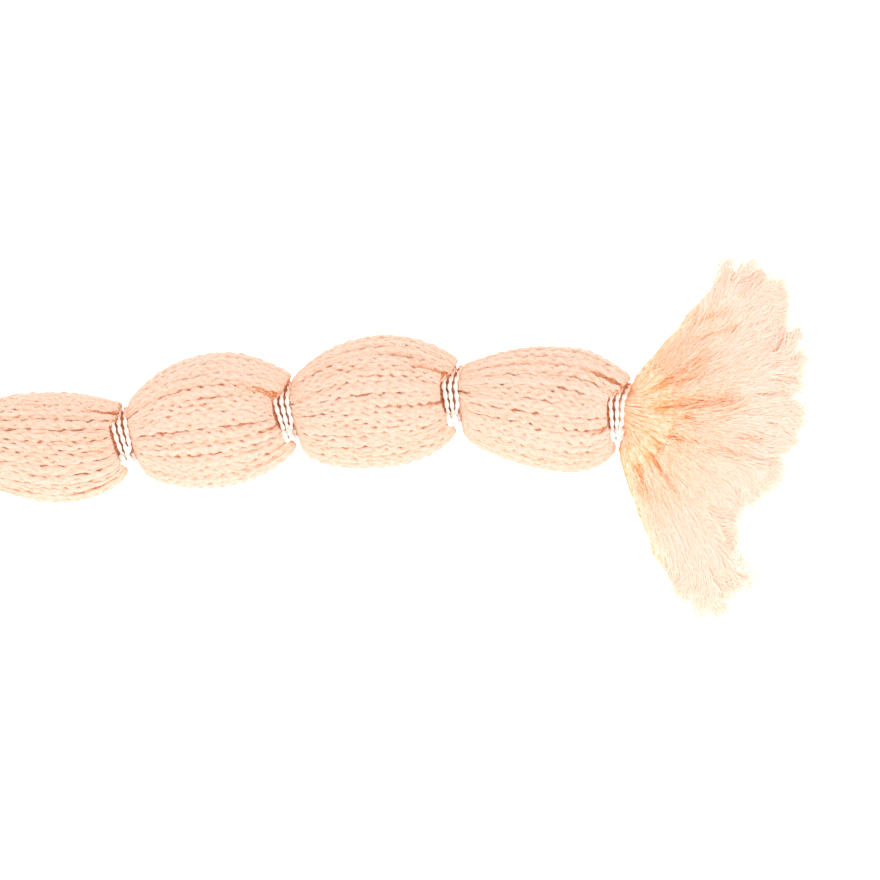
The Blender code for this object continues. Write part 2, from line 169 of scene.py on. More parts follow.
SIDE_DRIFT = 0.34              # how far yarns stray sideways, in yarn spacings
DEPTH_DRIFT = 0.2              # and in depth, in millimetres
STAND_OUT = 0.2                # how far a yarn may stand out of the skin
DRIFT_WAVES = 7                # waves that add up to the yarns' straying
DRIFT_CYCLES = (5, 24)         # of a wave round the bobble
DRIFT_ALONG = 2.6              # most cycles along it
NEARBY = 0.2                   # columns to each side that tell the way round the skin
CORE_DEPTH = 1.0               # of the inner yarns under the skin
CORE_LIP_DEPTH = 1.3           # what the lips add, up to this fullness
CORE_LIP_FULLNESS = 0.5
CORE_NECK_DEPTH = 0.5          # depth in a neck
NECK_SLACK = 0.5               # how much wider than a neck a section of it may be
BOBBLE_SEED = 31

# Partings where the yarns open at a tie: the bobble, its end (0 left, 1 right), the angle over the
# top from the far side, the reach from that end as a share of the bobble, its half width, its depth.
Parting = namedtuple("Parting", "bobble end angle reach half_width depth")
PARTINGS = (
    Parting(0, 1, 44.0, 0.26, 3.4, 1.0),
    Parting(1, 1, 63.0, 0.26, 3.6, 1.2),
    Parting(1, 0, 60.0, 0.16, 2.5, 1.0),
    Parting(1, 1, 108.0, 0.16, 2.5, 1.0),
    Parting(2, 1, 54.0, 0.28, 3.6, 1.2),
    Parting(2, 1, 98.0, 0.18, 2.5, 1.0),
    Parting(2, 0, 76.0, 0.14, 2.5, 1.0),
    Parting(3, 1, 44.0, 0.26, 3.8, 1.1),
    Parting(3, 1, 112.0, 0.14, 2.5, 1.0),
    Parting(3, 0, 82.0, 0.14, 2.5, 1.0),
)
PARTING_SHIFT = 0.3            # how far yarns move aside, in half widths of the parting

HAIRS = 500                    # loose fibre ends of each bobble
HAIR_LENGTH = (1.6, 4.2)
HAIR_RADIUS = 0.055
HAIR_TAPER = 0.75              # share by which a hair thins to its tip
HAIR_POINTS = 4
LOOSE_SIDES = 3                # of a hair or a loose fibre
HAIR_ALONG = (0.07, 0.95)      # shares of the bobble's run between which hairs start
HAIR_COLUMNS = (-6.0, 34.0)    # columns between which they start: the top and both sides
HAIR_ROOT = 0.5                # how deep they start under the skin
HAIR_SPREAD = 0.9              # how far they lean sideways
HAIR_LIFT = (0.15, 0.75)       # and outwards
HAIR_BEND = 0.35               # how far they bend, as a share of their length
HAIR_DROOP = 0.6               # and how much of that goes back inwards

# --- thread ties ---------------------------------------------------------------------------------

THREAD = 1.65                  # thickness of the thread
PLY_RADIUS = 0.38
PLY_OFFSET = 0.33              # from the thread's middle to a ply's middle
PLY_SIDES = 7
THREAD_LEAD = 5.8              # length of one full turn of its plies
TIE_INNER = 7.3                # radius inside the turns
TIE_TURNS = 3
TURN_POINTS = 100
TURN_PITCH = 1.70              # from one turn to the next
TURN_CONVERGENCE = 0.2         # share by which that is more at the far side and less at the near one
TURN_SWAY = 0.07               # how far the turns stray
SWAY_WAVES = 3.0               # waves of that in one turn
SWAY_DRIFT = 150.0             # degrees of turn for each radian that these waves move on
TUCK_ANGLE = 28.0              # over which both ends of the turns slip under the knot
TUCK_DRAW = 0.65               # share by which they draw to the tie's middle there
TUCK_RISE = 0.9                # and how far they rise
KNOT_ANGLE = 139.0             # of the knot over the top, from the far side
KNOT_POINTS = 70
KNOT_TURNS = 2.6
KNOT_LENGTH = 4.6              # between the middles of its first and last turn
KNOT_WAIST = 0.8               # radius of its first and last turn
KNOT_SWELL = 0.7               # how much wider the middle one is
KNOT_OUT = 0.3                 # from the outer face of the turns to the middle of its winding
KNOT_PLY_RADIUS = 0.60
KNOT_TUCK = 0.1                # share of its thread at each end that is tucked under
KNOT_TUCK_DEPTH = 1.2
PAINTED_BOUNCE_REACH = (4.2, 6.2)       # where the painted shade and bounce light on the thread grow in, towards the far side, from the tie's middle
TIE_SEED = 51

# --- cut ends ------------------------------------------------------------------------------------

Reach = namedtuple("Reach", "heading length")
Edge = namedtuple("Edge", "radius low high")    # degrees by which a fan's two edges turn there
CutEnd = namedtuple(
    "CutEnd",
    "name tie heading columns layers root_radius root_span tip_span head_half_height landing"
    " layer_pitch lock_width layer_reach outline edges clumps seed",
)
TASSEL = CutEnd(
    name="tassel_end", tie=TIES[4], heading=0.0, columns=18, layers=6, root_radius=12.0,
    root_span=(-76.0, 55.0), tip_span=(-73.0, 50.8), head_half_height=7.6, landing=35.0,
    layer_pitch=2.1, lock_width=5.2, layer_reach=(0.93, 1.0, 1.0, 0.96, 0.9, 0.82),
    outline=(
        Reach(-75, 46.0), Reach(-71.4, 58.5), Reach(-67.2, 66.0), Reach(-64, 68.5), Reach(-58, 71.0),
        Reach(-54, 71.5), Reach(-51.2, 71.5), Reach(-50.2, 67.5), Reach(-49.0, 58.0), Reach(-47.3, 53.0),
        Reach(-41.3, 51.3), Reach(-36, 51.5), Reach(-29.4, 50.5), Reach(-25.5, 53.5), Reach(-23.0, 55.0),
        Reach(-14.3, 52.7), Reach(-10.5, 58.0), Reach(-2.3, 59.5), Reach(1.1, 59.5), Reach(2.8, 51.0),
        Reach(4.4, 51.0), Reach(6.2, 58.0), Reach(12.2, 62.0), Reach(13.8, 65.0), Reach(16.2, 65.0),
        Reach(18.8, 57.5), Reach(20.4, 57.0), Reach(21.2, 67.0), Reach(23.0, 67.0), Reach(24.4, 60.5),
        Reach(26.4, 58.0), Reach(28.0, 61.0), Reach(36.8, 66.5), Reach(43.0, 64.5), Reach(45.0, 59.5),
        Reach(45.6, 53.5), Reach(46.6, 53.5), Reach(47.4, 59.5), Reach(48.6, 59.5), Reach(52.5, 55.0),
    ),
    edges=(
        Edge(10, -4.0, 0.0), Edge(15, -3.5, 0.0), Edge(25, -0.7, -2.3), Edge(33, 2.3, -2.6),
        Edge(41, 2.7, -2.2), Edge(50, 2.3, 2.2), Edge(55, 2.5, 3.3), Edge(60, 0.5, 4.0),
    ),
    clumps=3.5, seed=11,
)
STUB = CutEnd(
    name="cut_end", tie=TIES[0], heading=186.0, columns=7, layers=5, root_radius=9.5,
    root_span=(-44.0, 44.0), tip_span=(-30.0, 30.0), head_half_height=6.8, landing=20.0,
    layer_pitch=2.9, lock_width=4.0, layer_reach=(0.94, 1.0, 1.0, 0.97, 0.92),
    outline=(Reach(-32, 25.5), Reach(-12, 28.0), Reach(6, 27.2), Reach(32, 26.0)),
    edges=(Edge(0, 0.0, 0.0),), clumps=1.0, seed=23,
)
SIDE_FALL = 0.55               # how strongly a head's face falls off to its two sides
PILE_FALL = 0.3                # share by which the lying heap is lower there
DROOP = 1.5                    # power by which the heap falls from its head to the ground
CLUMP_SWAY = 0.3               # how strongly tips draw together in clumps
LENGTH_JITTER = 0.05           # share by which locks differ in length
NECK_ROWS = (PARTING, 1.6, NECK_END)
HEAD_ROWS = 6
HEAD_FLARE = 1.2               # power by which the head opens from its neck
FAN_ROWS = 26
FAN_EDGE = 0.99                # how far across a heap its outermost yarns and fibres lie
PAST_TIPS = 1.2                # greatest distance that still turns a heading, as a share of the reach
LEAST_HEIGHT = 0.3             # of any yarn's middle above the ground

# Clefts between the tassel's clumps: headings at their start and end, the distances of these from
# the tie's middle, half width in degrees, and depth.
Cleft = namedtuple("Cleft", "heading_in heading_out start end half_width depth")
CLEFTS = (
    Cleft(30.0, 30.7, 14.0, 34.0, 2.2, 1.3),
    Cleft(24.0, 22.7, 21.0, 35.0, 1.8, 1.2),
    Cleft(40.4, 34.3, 33.0, 46.0, 1.8, 1.3),
    Cleft(46.4, 40.6, 37.0, 47.0, 1.6, 1.2),
    Cleft(0.0, -5.0, 9.5, 24.0, 2.6, 1.2),
    Cleft(7.0, 5.5, 9.0, 40.0, 4.5, 0.7),
    Cleft(-50.0, -50.4, 14.0, 31.0, 2.0, 1.3),
    Cleft(-66.8, -65.7, 17.0, 28.0, 1.9, 1.1),
    Cleft(-31.4, -35.7, 9.0, 17.0, 2.8, 1.2),
    Cleft(-22.5, -18.0, 17.0, 42.0, 1.8, 1.2),
    Cleft(-10.8, -10.4, 40.5, 45.5, 1.6, 1.5),
)
CLEFT_FADE = 3.0               # how far before its start a cleft opens, and round its end it closes
CLEFT_OPENED = 2.0             # and past its start where it is open
CLEFT_SHIFT = 0.7              # how far yarns move aside, in half widths of the cleft
CLEFT_EDGE = 4.0               # how sharply its two sides part
CLEFT_SINK = 0.6               # how far the heap sinks there, as a share of the cleft's depth

# Yarns of a cut end: how many across and up, their reach as shares of the locks', points in a path,
# how far their crimp swings, the share by which they thin to their tips, their openness, their seed.
YarnSet = namedtuple("YarnSet", "across up reach points swing thinning openness seed")
TASSEL_YARNS = YarnSet(46, 4, (0.42, 0.74), 56, 0.42, 0.6, TASSEL_OPENNESS, 71)
STUB_YARNS = YarnSet(12, 6, (0.95, 1.0), 25, 0.21, 0.0, STUB_OPENNESS, 91)
PLACE_JITTER = 0.3             # how far a yarn's place strays, in spacings
FAN_FILL = 0.56                # half width of a yarn, as a share of the room that it has
FAN_HALF_WIDTH = (0.44, 0.95)
FAN_FLATNESS = 0.9
FAN_SMOOTHING = 2
FAN_CRIMP_LENGTH = (3.4, 5.4)
FAN_CRIMP_RISE = 0.6
FAN_CRIMP_START = (4.0, 11.0)  # from the tie's middle, where the crimp starts and is full
FAN_LEAD = 13.0                # of the two plies, which brushing has loosened
THINNING_START = 0.6           # share of a yarn's length where it starts to thin
TASSEL_WAIST = 0.78            # between the plies, as PLY_WAIST
BRUSHED_SPIN = 0.1             # of the fibres' own twist that is left after brushing

LOCK_BODY = 0.93               # length of a lock's solid middle, as a share of its reach
LOCK_POINTS = 26
LOCK_SIDES = 10
LOCK_FILL = 0.72               # half width of a lock, as a share of the room that it has
LOCK_ROOM_LEAST = 0.8          # millimetres
LOCK_ROOM_MOST = 1.25          # lock widths
LOCK_THICKNESS = 0.56          # half height, as a share of the layers' pitch
LOCK_LUMP = 0.12               # how much thicker and thinner a lock gets
LOCK_LUMP_RUN = 2.0            # how fast that changes along it
LOCK_NARROWING = 0.7           # share of its width that its tip loses
LOCK_NARROWING_START = 0.8     # share of its length where that starts
LOCK_CLOSING = 0.85            # and the same for its height
LOCK_CLOSING_START = 0.75

FIBRES = 6400                  # in each of two pieces
FIBRE_LENGTH = (5.0, 13.0)
FIBRE_START = 18.0             # nearest start, from the tie's middle
FIBRE_LAST_START = 0.95        # furthest start, as a share of the locks' reach
FIBRE_TIP = (0.94, 1.04)       # furthest tip, as shares of that reach
FIBRE_LEVEL = 2.0              # level of the locks whose reach that is
FIBRE_RADIUS = 0.15
FIBRE_FLATNESS = 0.45
FIBRE_TAPER = 0.7              # share by which a fibre thins to its tip
FIBRE_TAPER_START = 0.5
FIBRE_POINTS = 5
FIBRE_SPREAD = 0.34            # sideways, as a share of the way out
FIBRE_BEND = 1.6               # how far a tip bends sideways
FIBRE_CURL = (0.1, 0.4)        # how far a fibre waves sideways
FIBRE_CURL_RUN = 6.0           # radians of that wave
FIBRE_LIFT = (-0.3, 0.9)       # how far its middle rises
FIBRE_LIFT_RUN = 0.8           # half waves of that rise
DEEP_SHARE = 0.16              # of the fibres that lie inside the heap
DEEP_LEVEL = (0.1, 1.0)        # their level, as shares of the face's
HEAP_TOP = ((0.0, 0.80, 0.88, 0.95, 1.0), (6.35, 6.05, 5.0, 3.5, 2.0))    # level of the heap's face


# --- meshes --------------------------------------------------------------------------------------

PATTERN_STEP = 37.0            # millimetres by which each tube's fibre pattern is moved along
TINT_STEP = 0.618034           # golden section, which spreads the tubes' tints evenly


def directions(heading):
    """Unit vectors over the ground at headings in degrees."""
    angle = np.radians(heading)
    return np.stack([np.cos(angle), np.sin(angle), np.zeros_like(angle)], axis=-1)


def unit(vectors):
    """The vectors at length 1."""
    return vectors / np.maximum(np.linalg.norm(vectors, axis=-1, keepdims=True), 1e-12)


def square_to(vectors, tangent):
    """Unit vectors, each the nearest to a given one that stands square to its tangent."""
    return unit(vectors - tangent * (vectors * tangent).sum(-1, keepdims=True))


def tangents(path):
    """Unit vectors along each path at its points."""
    return unit(np.gradient(path, axis=1))


def run_lengths(path):
    """Distance along each path at its points."""
    steps = np.linalg.norm(np.diff(path, axis=1), axis=-1)
    return np.concatenate([np.zeros((len(path), 1)), np.cumsum(steps, axis=1)], axis=1)


def smoothstep(value, low, high):
    """0 below low, 1 above high and a soft rise between them."""
    share = np.clip((value - low) / (high - low), 0.0, 1.0)
    return share * share * (3.0 - 2.0 * share)


def resample(path, extra, points):
    """Even points along each path, with its extra values read at the same places."""
    values = np.concatenate([path, extra], axis=-1)
    result = np.zeros((len(path), points, values.shape[-1]))
    for number, run in enumerate(run_lengths(path)):
        spots = np.linspace(0.0, run[-1], points)
        for column in range(values.shape[-1]):
            result[number, :, column] = np.interp(spots, run, values[number, :, column])
    return result[..., :3], result[..., 3:]


def smooth_paths(path, rounds):
    """Round the corners of the paths, their ends held."""
    path = path.copy()
    for _ in range(rounds):
        path[:, 1:-1] = 0.25 * path[:, :-2] + 0.5 * path[:, 1:-1] + 0.25 * path[:, 2:]
    return path


def add_object(name, data):
    """Link a mesh, a camera or a lamp as an object of the scene."""
    piece = bpy.data.objects.new(name, data)
    bpy.context.scene.collection.objects.link(piece)
    return piece


def tube_row(count, points, sides):
    """Mesh of equal capped tubes in a row, and each vertex's tube, ring and angle round its tube."""
    tube = bmesh.new()
    bmesh.ops.create_cone(
        tube, cap_ends=True, segments=sides, radius1=1.0, radius2=1.0, depth=1.0
    )
    long_edges = [
        edge for edge in tube.edges if abs(edge.verts[0].co.z - edge.verts[1].co.z) > 0.5
    ]
    bmesh.ops.subdivide_edges(tube, edges=long_edges, cuts=points - 2, use_grid_fill=True)
    data = bpy.data.meshes.new("tube")
    tube.to_mesh(data)
    tube.free()
    first = add_object("tube", data)
    row = first.modifiers.new("row", "ARRAY")
    row.count = count
    row.use_relative_offset = False
    row.use_constant_offset = True
    row.constant_offset_displace = (0.0, 0.0, 2.0)
    shown = first.evaluated_get(bpy.context.evaluated_depsgraph_get())
    joined = bpy.data.meshes.new_from_object(shown)
    bpy.data.objects.remove(first)
    place = np.zeros(len(joined.vertices) * 3)
    joined.vertices.foreach_get("co", place)
    x, y, z = place.reshape(-1, 3).T
    number = np.rint(z / 2.0).astype(int)
    ring = np.rint((z - 2.0 * number + 0.5) * (points - 1)).astype(int)
    return joined, number, ring, np.arctan2(y, x)


def set_points(data, place):
    """Move a mesh's vertices to these places in millimetres."""
    data.vertices.foreach_set("co", (place * MM).astype(np.float32).ravel())
    data.update()


def add_value(data, name, value):
    """Store a number for each vertex under a name."""
    data.attributes.new(name, "FLOAT", "POINT").data.foreach_set("value", value.astype(np.float32))


def add_place(data, name, place):
    """Store a vector for each vertex under a name."""
    layer = data.attributes.new(name, "FLOAT_VECTOR", "POINT")
    layer.data.foreach_set("vector", place.astype(np.float32).ravel())


Tubes = namedtuple("Tubes", "path normal half_width half_height twist openness")


def sweep(name, tubes, sides, waist=1.0, shade=SOFT_SHADE, spin=1.0):
    """Object of tubes along paths.

    Waist is how thin the section is between its two plies, shade how much darker its sides are painted,
    and spin how much of the fibres' own twist is left.
    """
    count, points = tubes.path.shape[:2]
    data, number, ring, angle = tube_row(count, points, sides)
    tangent = tangents(tubes.path)
    normal = square_to(tubes.normal, tangent)
    side = np.cross(normal, tangent)
    at = (number, ring)
    lobes = waist + (1.0 - waist) * np.cos(angle) ** 2
    turned = angle + tubes.twist[at]
    aside = tubes.half_width[at] * lobes * np.cos(turned)
    out = tubes.half_height[at] * lobes * np.sin(turned)
    place = tubes.path[at] + side[at] * aside[:, None] + normal[at] * out[:, None]
    place[:, 2] = np.maximum(place[:, 2], 0.0)
    set_points(data, place)
    # Painted shade: the sides of a tube darker than its top.
    relief = shade * (lobes * np.sin(turned) - SHADE_MIDDLE)
    add_value(data, "openness", np.clip(tubes.openness[at] + relief, 0.0, 1.0))
    run = run_lengths(tubes.path)[at]
    spun = angle + FULL_TURN * spin * run / FIBRE_LEAD
    straight = np.stack(
        [
            tubes.half_width[at] * lobes * np.cos(spun),
            tubes.half_height[at] * lobes * np.sin(spun),
            run + PATTERN_STEP * number,
        ],
        axis=-1,
    )
    add_place(data, "straight", straight)
    add_value(data, "tint", (number * TINT_STEP) % 1.0)
    return add_object(name, data)


def join(name, pieces):
    """One object of several, which keep their attributes."""
    with bpy.context.temp_override(
        active_object=pieces[0], selected_editable_objects=pieces, selected_objects=pieces
    ):
        bpy.ops.object.join()
    pieces[0].name = name
    pieces[0].data.name = name
    return pieces[0]


def finish_piece(piece, material, node, smooth=True):
    """Give a piece its material, and say what it rides on and stands for."""
    piece.data.materials.append(material)
    if smooth:
        piece.data.shade_smooth()
    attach(piece, BODY)
    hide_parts(node)


# --- skin of the bobbles -------------------------------------------------------------------------

def fullness(along, fullest, taper):
    """0 at both lips of a bobble and 1 where it is fullest; along runs from 0 to 1."""
    before = np.clip((fullest - along) / fullest, 0.0, 1.0) ** SHOULDER
    after = np.clip((along - fullest) / (1.0 - fullest), 0.0, 1.0) ** SHOULDER
    rise = np.clip(1.0 - before, 0.0, 1.0) ** taper
    fall = np.clip(1.0 - after, 0.0, 1.0) ** (1.0 / SHOULDER)
    return np.where(along < fullest, rise, fall)


def neck_centre(tie, distance):
    """Points on a tie's own axis, at distances along it from the tie's middle."""
    middle = np.array([tie.x, tie.y, tie.z])
    return middle + directions(np.full_like(distance, tie.heading)) * distance[..., None]


Rings = namedtuple(
    "Rings",
    "centre heading half_width half_height along full past_far past_near cover bend",
)


def neck_rings(tie, side, along):
    """Sections of the neck on one side of a tie, from the tie outwards."""
    distance, half_width, half_height = NECK_PROFILE.T
    zero = np.zeros_like(distance)
    centre = neck_centre(tie, side * distance)
    bend = zero + tie.bend
    heading, along = zero + tie.heading, zero + along
    return Rings(centre, heading, half_width, half_height, along, zero, zero, zero, zero, bend)


def shell_rings(number, along):
    """Sections of a bobble's swollen stretch between its two lips."""
    left, right, shape = TIES[number], TIES[number + 1], BOBBLES[number]
    start = neck_centre(left, np.array(SHELL_START))
    run = neck_centre(right, np.array(-SHELL_END)) - start
    axis = math.degrees(math.atan2(run[1], run[0]))
    at_left = np.maximum(0.0, 1.0 - 2.0 * along) ** LEFT_END_POWER
    at_right = np.maximum(0.0, 2.0 * along - 1.0) ** RIGHT_END_POWER
    heading = axis + (left.heading - axis) * at_left + (right.heading - axis) * at_right
    far = fullness(along, shape.far.fullest, shape.far.taper)
    near = fullness(along, shape.near.fullest, shape.near.taper)
    far_swell = (shape.far.reach - LIP_RADIUS) * far
    near_swell = (shape.near.reach - LIP_RADIUS) * near
    full = (far + near) / 2.0
    lift = shape.height / 2.0 - PRESSED - (left.z + right.z) / 2.0
    centre = start + run * along[..., None]
    centre += directions(heading + 90.0) * ((far_swell - near_swell) / 2.0)[..., None]
    centre += UP * (lift * np.sin(np.pi * along) ** 2)[..., None]
    half_width = LIP_RADIUS + (far_swell + near_swell) / 2.0
    half_height = LIP_HEIGHT + (shape.height / 2.0 - LIP_HEIGHT) * full ** TOP_SOFTNESS
    past_far, past_near = shape.far.overhang * at_right, shape.near.overhang * at_right
    cover = FAR_COVER * at_right ** FAR_COVER_POWER
    bend = left.bend * (1.0 - along) ** BEND_POWER + right.bend * along ** BEND_POWER
    return Rings(
        centre, heading, half_width, half_height, along, full, past_far, past_near, cover, bend
    )


def bobble_rings(number):
    """Sections of one bobble from the middle of its left tie to that of its right tie."""
    spots = 0.5 - 0.5 * np.cos(np.linspace(0.0, np.pi, SHELL_ROWS))
    shell = shell_rings(number, SHELL_MARGIN + (1.0 - 2.0 * SHELL_MARGIN) * spots)
    left = neck_rings(TIES[number], 1.0, 0.0)
    right = neck_rings(TIES[number + 1], -1.0, 1.0)
    return Rings(*(np.concatenate([a, b, c[::-1]]) for a, b, c in zip(left, shell, right)))


def furrow_tables():
    """Depth of each furrow at each bobble's middle, and what a crease adds near the ties."""
    random = np.random.default_rng(FURROW_SEED)
    depth = random.uniform(*FURROW_DEPTH, size=(len(BOBBLES), HANK_COLUMNS))
    crease = random.random((len(BOBBLES), HANK_COLUMNS)) < CREASE_SHARE
    is_furrow = np.arange(HANK_COLUMNS) % 2
    return depth * is_furrow, crease * CREASE_DEPTH * is_furrow


FURROWS, CREASES = furrow_tables()


def far_bend(angle, bend):
    """How far the far side of a neck and its tie bends on, at an angle round the hank."""
    share = np.clip((np.cos(angle) - BEND_START) / (1.0 - BEND_START), 0.0, 1.0)
    return bend * share ** BEND_RISE


def skin(rings, number, column):
    """Points of a bobble's skin where its rings meet columns, and how deep its furrows are there."""
    lean = YARN_DRIFT * (rings.along - 0.5) * rings.full
    angle = np.radians(360.0 * column / HANK_COLUMNS + lean)
    spots = np.arange(HANK_COLUMNS)
    furrow = np.interp(column, spots, FURROWS[number], period=HANK_COLUMNS)
    crease = np.interp(column, spots, CREASES[number], period=HANK_COLUMNS)
    in_furrow = 1.0 - np.abs(column % 2.0 - 1.0)
    deep = furrow + crease * (2.0 * rings.along - 1.0) ** 2
    inward = NECK_FURROW * in_furrow + FURROW_SHARE * deep * rings.full
    inward = inward * (1.0 - np.maximum(0.0, -np.sin(angle)) ** PRESSED_POWER)
    aside = (rings.half_width - inward) * np.cos(angle)
    upward = (rings.half_height - inward) * np.sin(angle)
    past = np.where(np.cos(angle) > 0.0, rings.past_far, rings.past_near) * np.cos(angle) ** 2
    past = past + rings.cover * smoothstep(np.cos(angle), *FAR_COVER_COSINES)
    past = past + far_bend(angle, rings.bend)
    place = rings.centre + directions(rings.heading + 90.0) * aside[..., None]
    place = place + UP * upward[..., None] + directions(rings.heading) * past[..., None]
    place[..., 2] = np.maximum(place[..., 2], 0.0)
    return place, inward


# --- yarns of a bobble ---------------------------------------------------------------------------

def drift(random, count, along):
    """Smooth random values over yarns in a ring and along them, mostly from -1 to 1."""
    yarn = np.arange(count)[:, None] / count
    total = np.zeros((count, along.shape[-1]))
    for _ in range(DRIFT_WAVES):
        cycles = random.integers(*DRIFT_CYCLES)
        lean = random.uniform(-DRIFT_ALONG, DRIFT_ALONG)
        phase = random.uniform(0.0, 1.0)
        total += np.sin(FULL_TURN * (cycles * yarn + lean * along + phase))
    return total / math.sqrt(DRIFT_WAVES)


def open_partings(number, column, along):
    """Move yarns aside from a bobble's partings, and tell how deep each point sinks there."""
    sunk = np.zeros_like(column)
    for parting in PARTINGS:
        if parting.bobble != number:
            continue
        opened = 1.0 - smoothstep(np.abs(along - parting.end), 0.0, parting.reach)
        half = parting.half_width / 360.0 * HANK_COLUMNS
        off = column - parting.angle / 360.0 * HANK_COLUMNS
        close = np.exp(-((off / half) ** 2)) * opened
        shift = PARTING_SHIFT * half
        column = column + shift * close * np.tanh(off / shift)
        sunk = sunk + parting.depth * close
    return column, sunk


def crimp(random, path, normal, lengths, swing, rise, lead):
    """Crimp each yarn in its own way, and tell how far its plies have turned at its points."""
    run = run_lengths(path)
    side = np.cross(normal, tangents(path))
    wave = random.uniform(*lengths, (len(path), 1))
    phase = random.uniform(0.0, FULL_TURN, (len(path), 1))
    turn = FULL_TURN * run / wave + phase
    path = path + side * (swing * np.sin(turn))[..., None]
    path = path + normal * (rise * swing * np.sin(CRIMP_BEAT * turn + phase))[..., None]
    return path, FULL_TURN * run / lead + PLY_PHASE * phase


def bobble_yarns(number, random):
    """The yarns that make up a bobble's skin."""
    rings = Rings(*(value[None] for value in bobble_rings(number)))
    step = HANK_COLUMNS / YARNS
    aside = drift(random, YARNS, rings.along) * rings.full ** 0.5
    column = step * (np.arange(YARNS)[:, None] + SIDE_DRIFT * aside)
    column, sunk = open_partings(number, column, rings.along)
    depth = drift(random, YARNS, rings.along) + random.uniform(-1.0, 1.0, (YARNS, 1))
    depth = DEPTH_DRIFT * depth
    place, inward = skin(rings, number, column)
    ahead, _ = skin(rings, number, column + NEARBY)
    behind, _ = skin(rings, number, column - NEARBY)
    onward = (ahead - behind) / (2.0 * NEARBY)
    room = np.linalg.norm(onward, axis=-1) * step
    # Painted shade and light: dark under the ties and in furrows, partings and deeper yarns, lighter
    # towards the lips and where the bobble swells.
    openness = (
        NECK_OPENNESS
        + LIP_OPENNESS * smoothstep(rings.half_width, NECK_RADIUS, LIP_RADIUS)
        + SWELL_OPENNESS * smoothstep(rings.full, *SWELL_FULLNESS)
        - FURROW_DIM * inward
        - PARTING_DIM * sunk
        - DEPTH_DIM * np.maximum(depth, 0.0)
    )
    sunk = sunk + np.maximum(depth * rings.full, -STAND_OUT)
    extra = np.concatenate([unit(onward), np.stack([room, sunk, openness], axis=-1)], axis=-1)
    path, extra = resample(place, extra, YARN_POINTS)
    path = smooth_paths(path, YARN_SMOOTHING)
    onward, (room, sunk, openness) = extra[..., :3], np.moveaxis(extra[..., 3:], -1, 0)
    normal = unit(np.cross(onward, tangents(path)))
    lump = drift(random, YARNS, np.linspace(0.0, LUMP_RUN, YARN_POINTS)[None])
    half_width = np.clip(YARN_FILL * room, *YARN_HALF_WIDTH) * (1.0 + YARN_LUMP * lump)
    half_height = half_width * YARN_FLATNESS
    swing = CRIMP * smoothstep(room, *CRIMP_ROOM)
    path, twist = crimp(random, path, normal, CRIMP_LENGTH, swing, CRIMP_RISE, PLY_LEAD)
    path = path - normal * (half_height * YARN_SINK + sunk)[..., None]
    openness = openness + random.uniform(-YARN_VARIETY, YARN_VARIETY, (YARNS, 1))
    return Tubes(path, normal, half_width, half_height, twist, openness)


def make_core(name, number):
    """The inner yarns of a bobble as one body a little under its skin."""
    rings = bobble_rings(number)
    data, _, ring, angle = tube_row(1, len(rings.along), HANK_COLUMNS)
    column = (angle / FULL_TURN * HANK_COLUMNS) % HANK_COLUMNS
    here = Rings(*(value[ring] for value in rings))
    place, inward = skin(here, number, column)
    at_lip = 1.0 - smoothstep(here.full, 0.0, CORE_LIP_FULLNESS)
    swollen = here.half_width > NECK_RADIUS + NECK_SLACK
    depth = np.where(swollen, CORE_DEPTH + CORE_LIP_DEPTH * at_lip, CORE_NECK_DEPTH)
    place = place + unit(here.centre - place) * depth[:, None]
    set_points(data, place)
    # Painted shade: the inner yarns darker, less so where the bobble is fullest, darker in furrows.
    add_value(data, "openness", CORE_OPENNESS + CORE_GAIN * here.full - FURROW_DIM * inward)
    add_place(data, "straight", place)
    add_value(data, "tint", np.zeros(len(place)))
    return add_object(name, data)


def bobble_hairs(number, random):
    """Loose fibre ends that stand off a bobble."""
    along = random.uniform(*HAIR_ALONG, HAIRS)
    column = random.uniform(*HAIR_COLUMNS, HAIRS) % HANK_COLUMNS
    rings = shell_rings(number, along)
    place, _ = skin(rings, number, column)
    out = unit(place - rings.centre)
    lead = directions(rings.heading) * np.where(random.random(HAIRS) < 0.5, -1.0, 1.0)[:, None]
    aside = np.cross(out, lead)
    spread = random.uniform(-HAIR_SPREAD, HAIR_SPREAD, (HAIRS, 1))
    lift = random.uniform(*HAIR_LIFT, (HAIRS, 1))
    way = unit(lead + aside * spread + out * lift)
    bend = unit(aside * random.uniform(-1.0, 1.0, (HAIRS, 1)) - out * HAIR_DROOP)
    length = random.uniform(*HAIR_LENGTH, (HAIRS, 1))
    share = np.linspace(0.0, 1.0, HAIR_POINTS)
    path = (
        (place - out * HAIR_ROOT)[:, None]
        + (way * length)[:, None] * share[:, None]
        + (bend * length)[:, None] * (HAIR_BEND * share ** 2)[:, None]
    )
    size = np.broadcast_to(HAIR_RADIUS * (1.0 - HAIR_TAPER * share), path.shape[:2])
    normal = np.broadcast_to(out[:, None], path.shape)
    return Tubes(path, normal, size, size, np.zeros_like(size), np.full_like(size, HAIR_OPENNESS))


# --- ties ----------------------------------------------------------------------------------------

def two_plies(path, out, phase):
    """Paths of two plies that turn round each other along one thread, given its outward vectors."""
    path = path[None]
    tangent = tangents(path)
    out = square_to(out[None], tangent)
    aside = np.cross(out, tangent)
    turn = (FULL_TURN * run_lengths(path) / THREAD_LEAD + phase)[..., None]
    offset = PLY_OFFSET * (out * np.cos(turn) + aside * np.sin(turn))
    return np.concatenate([path + offset, path - offset]), np.concatenate([out, out])


def tie_frame(tie):
    """A tie's middle, and its unit vectors along the hank and to its far side."""
    along = directions(np.array(tie.heading))
    return np.array([tie.x, tie.y, tie.z]), along, np.cross(UP, along)


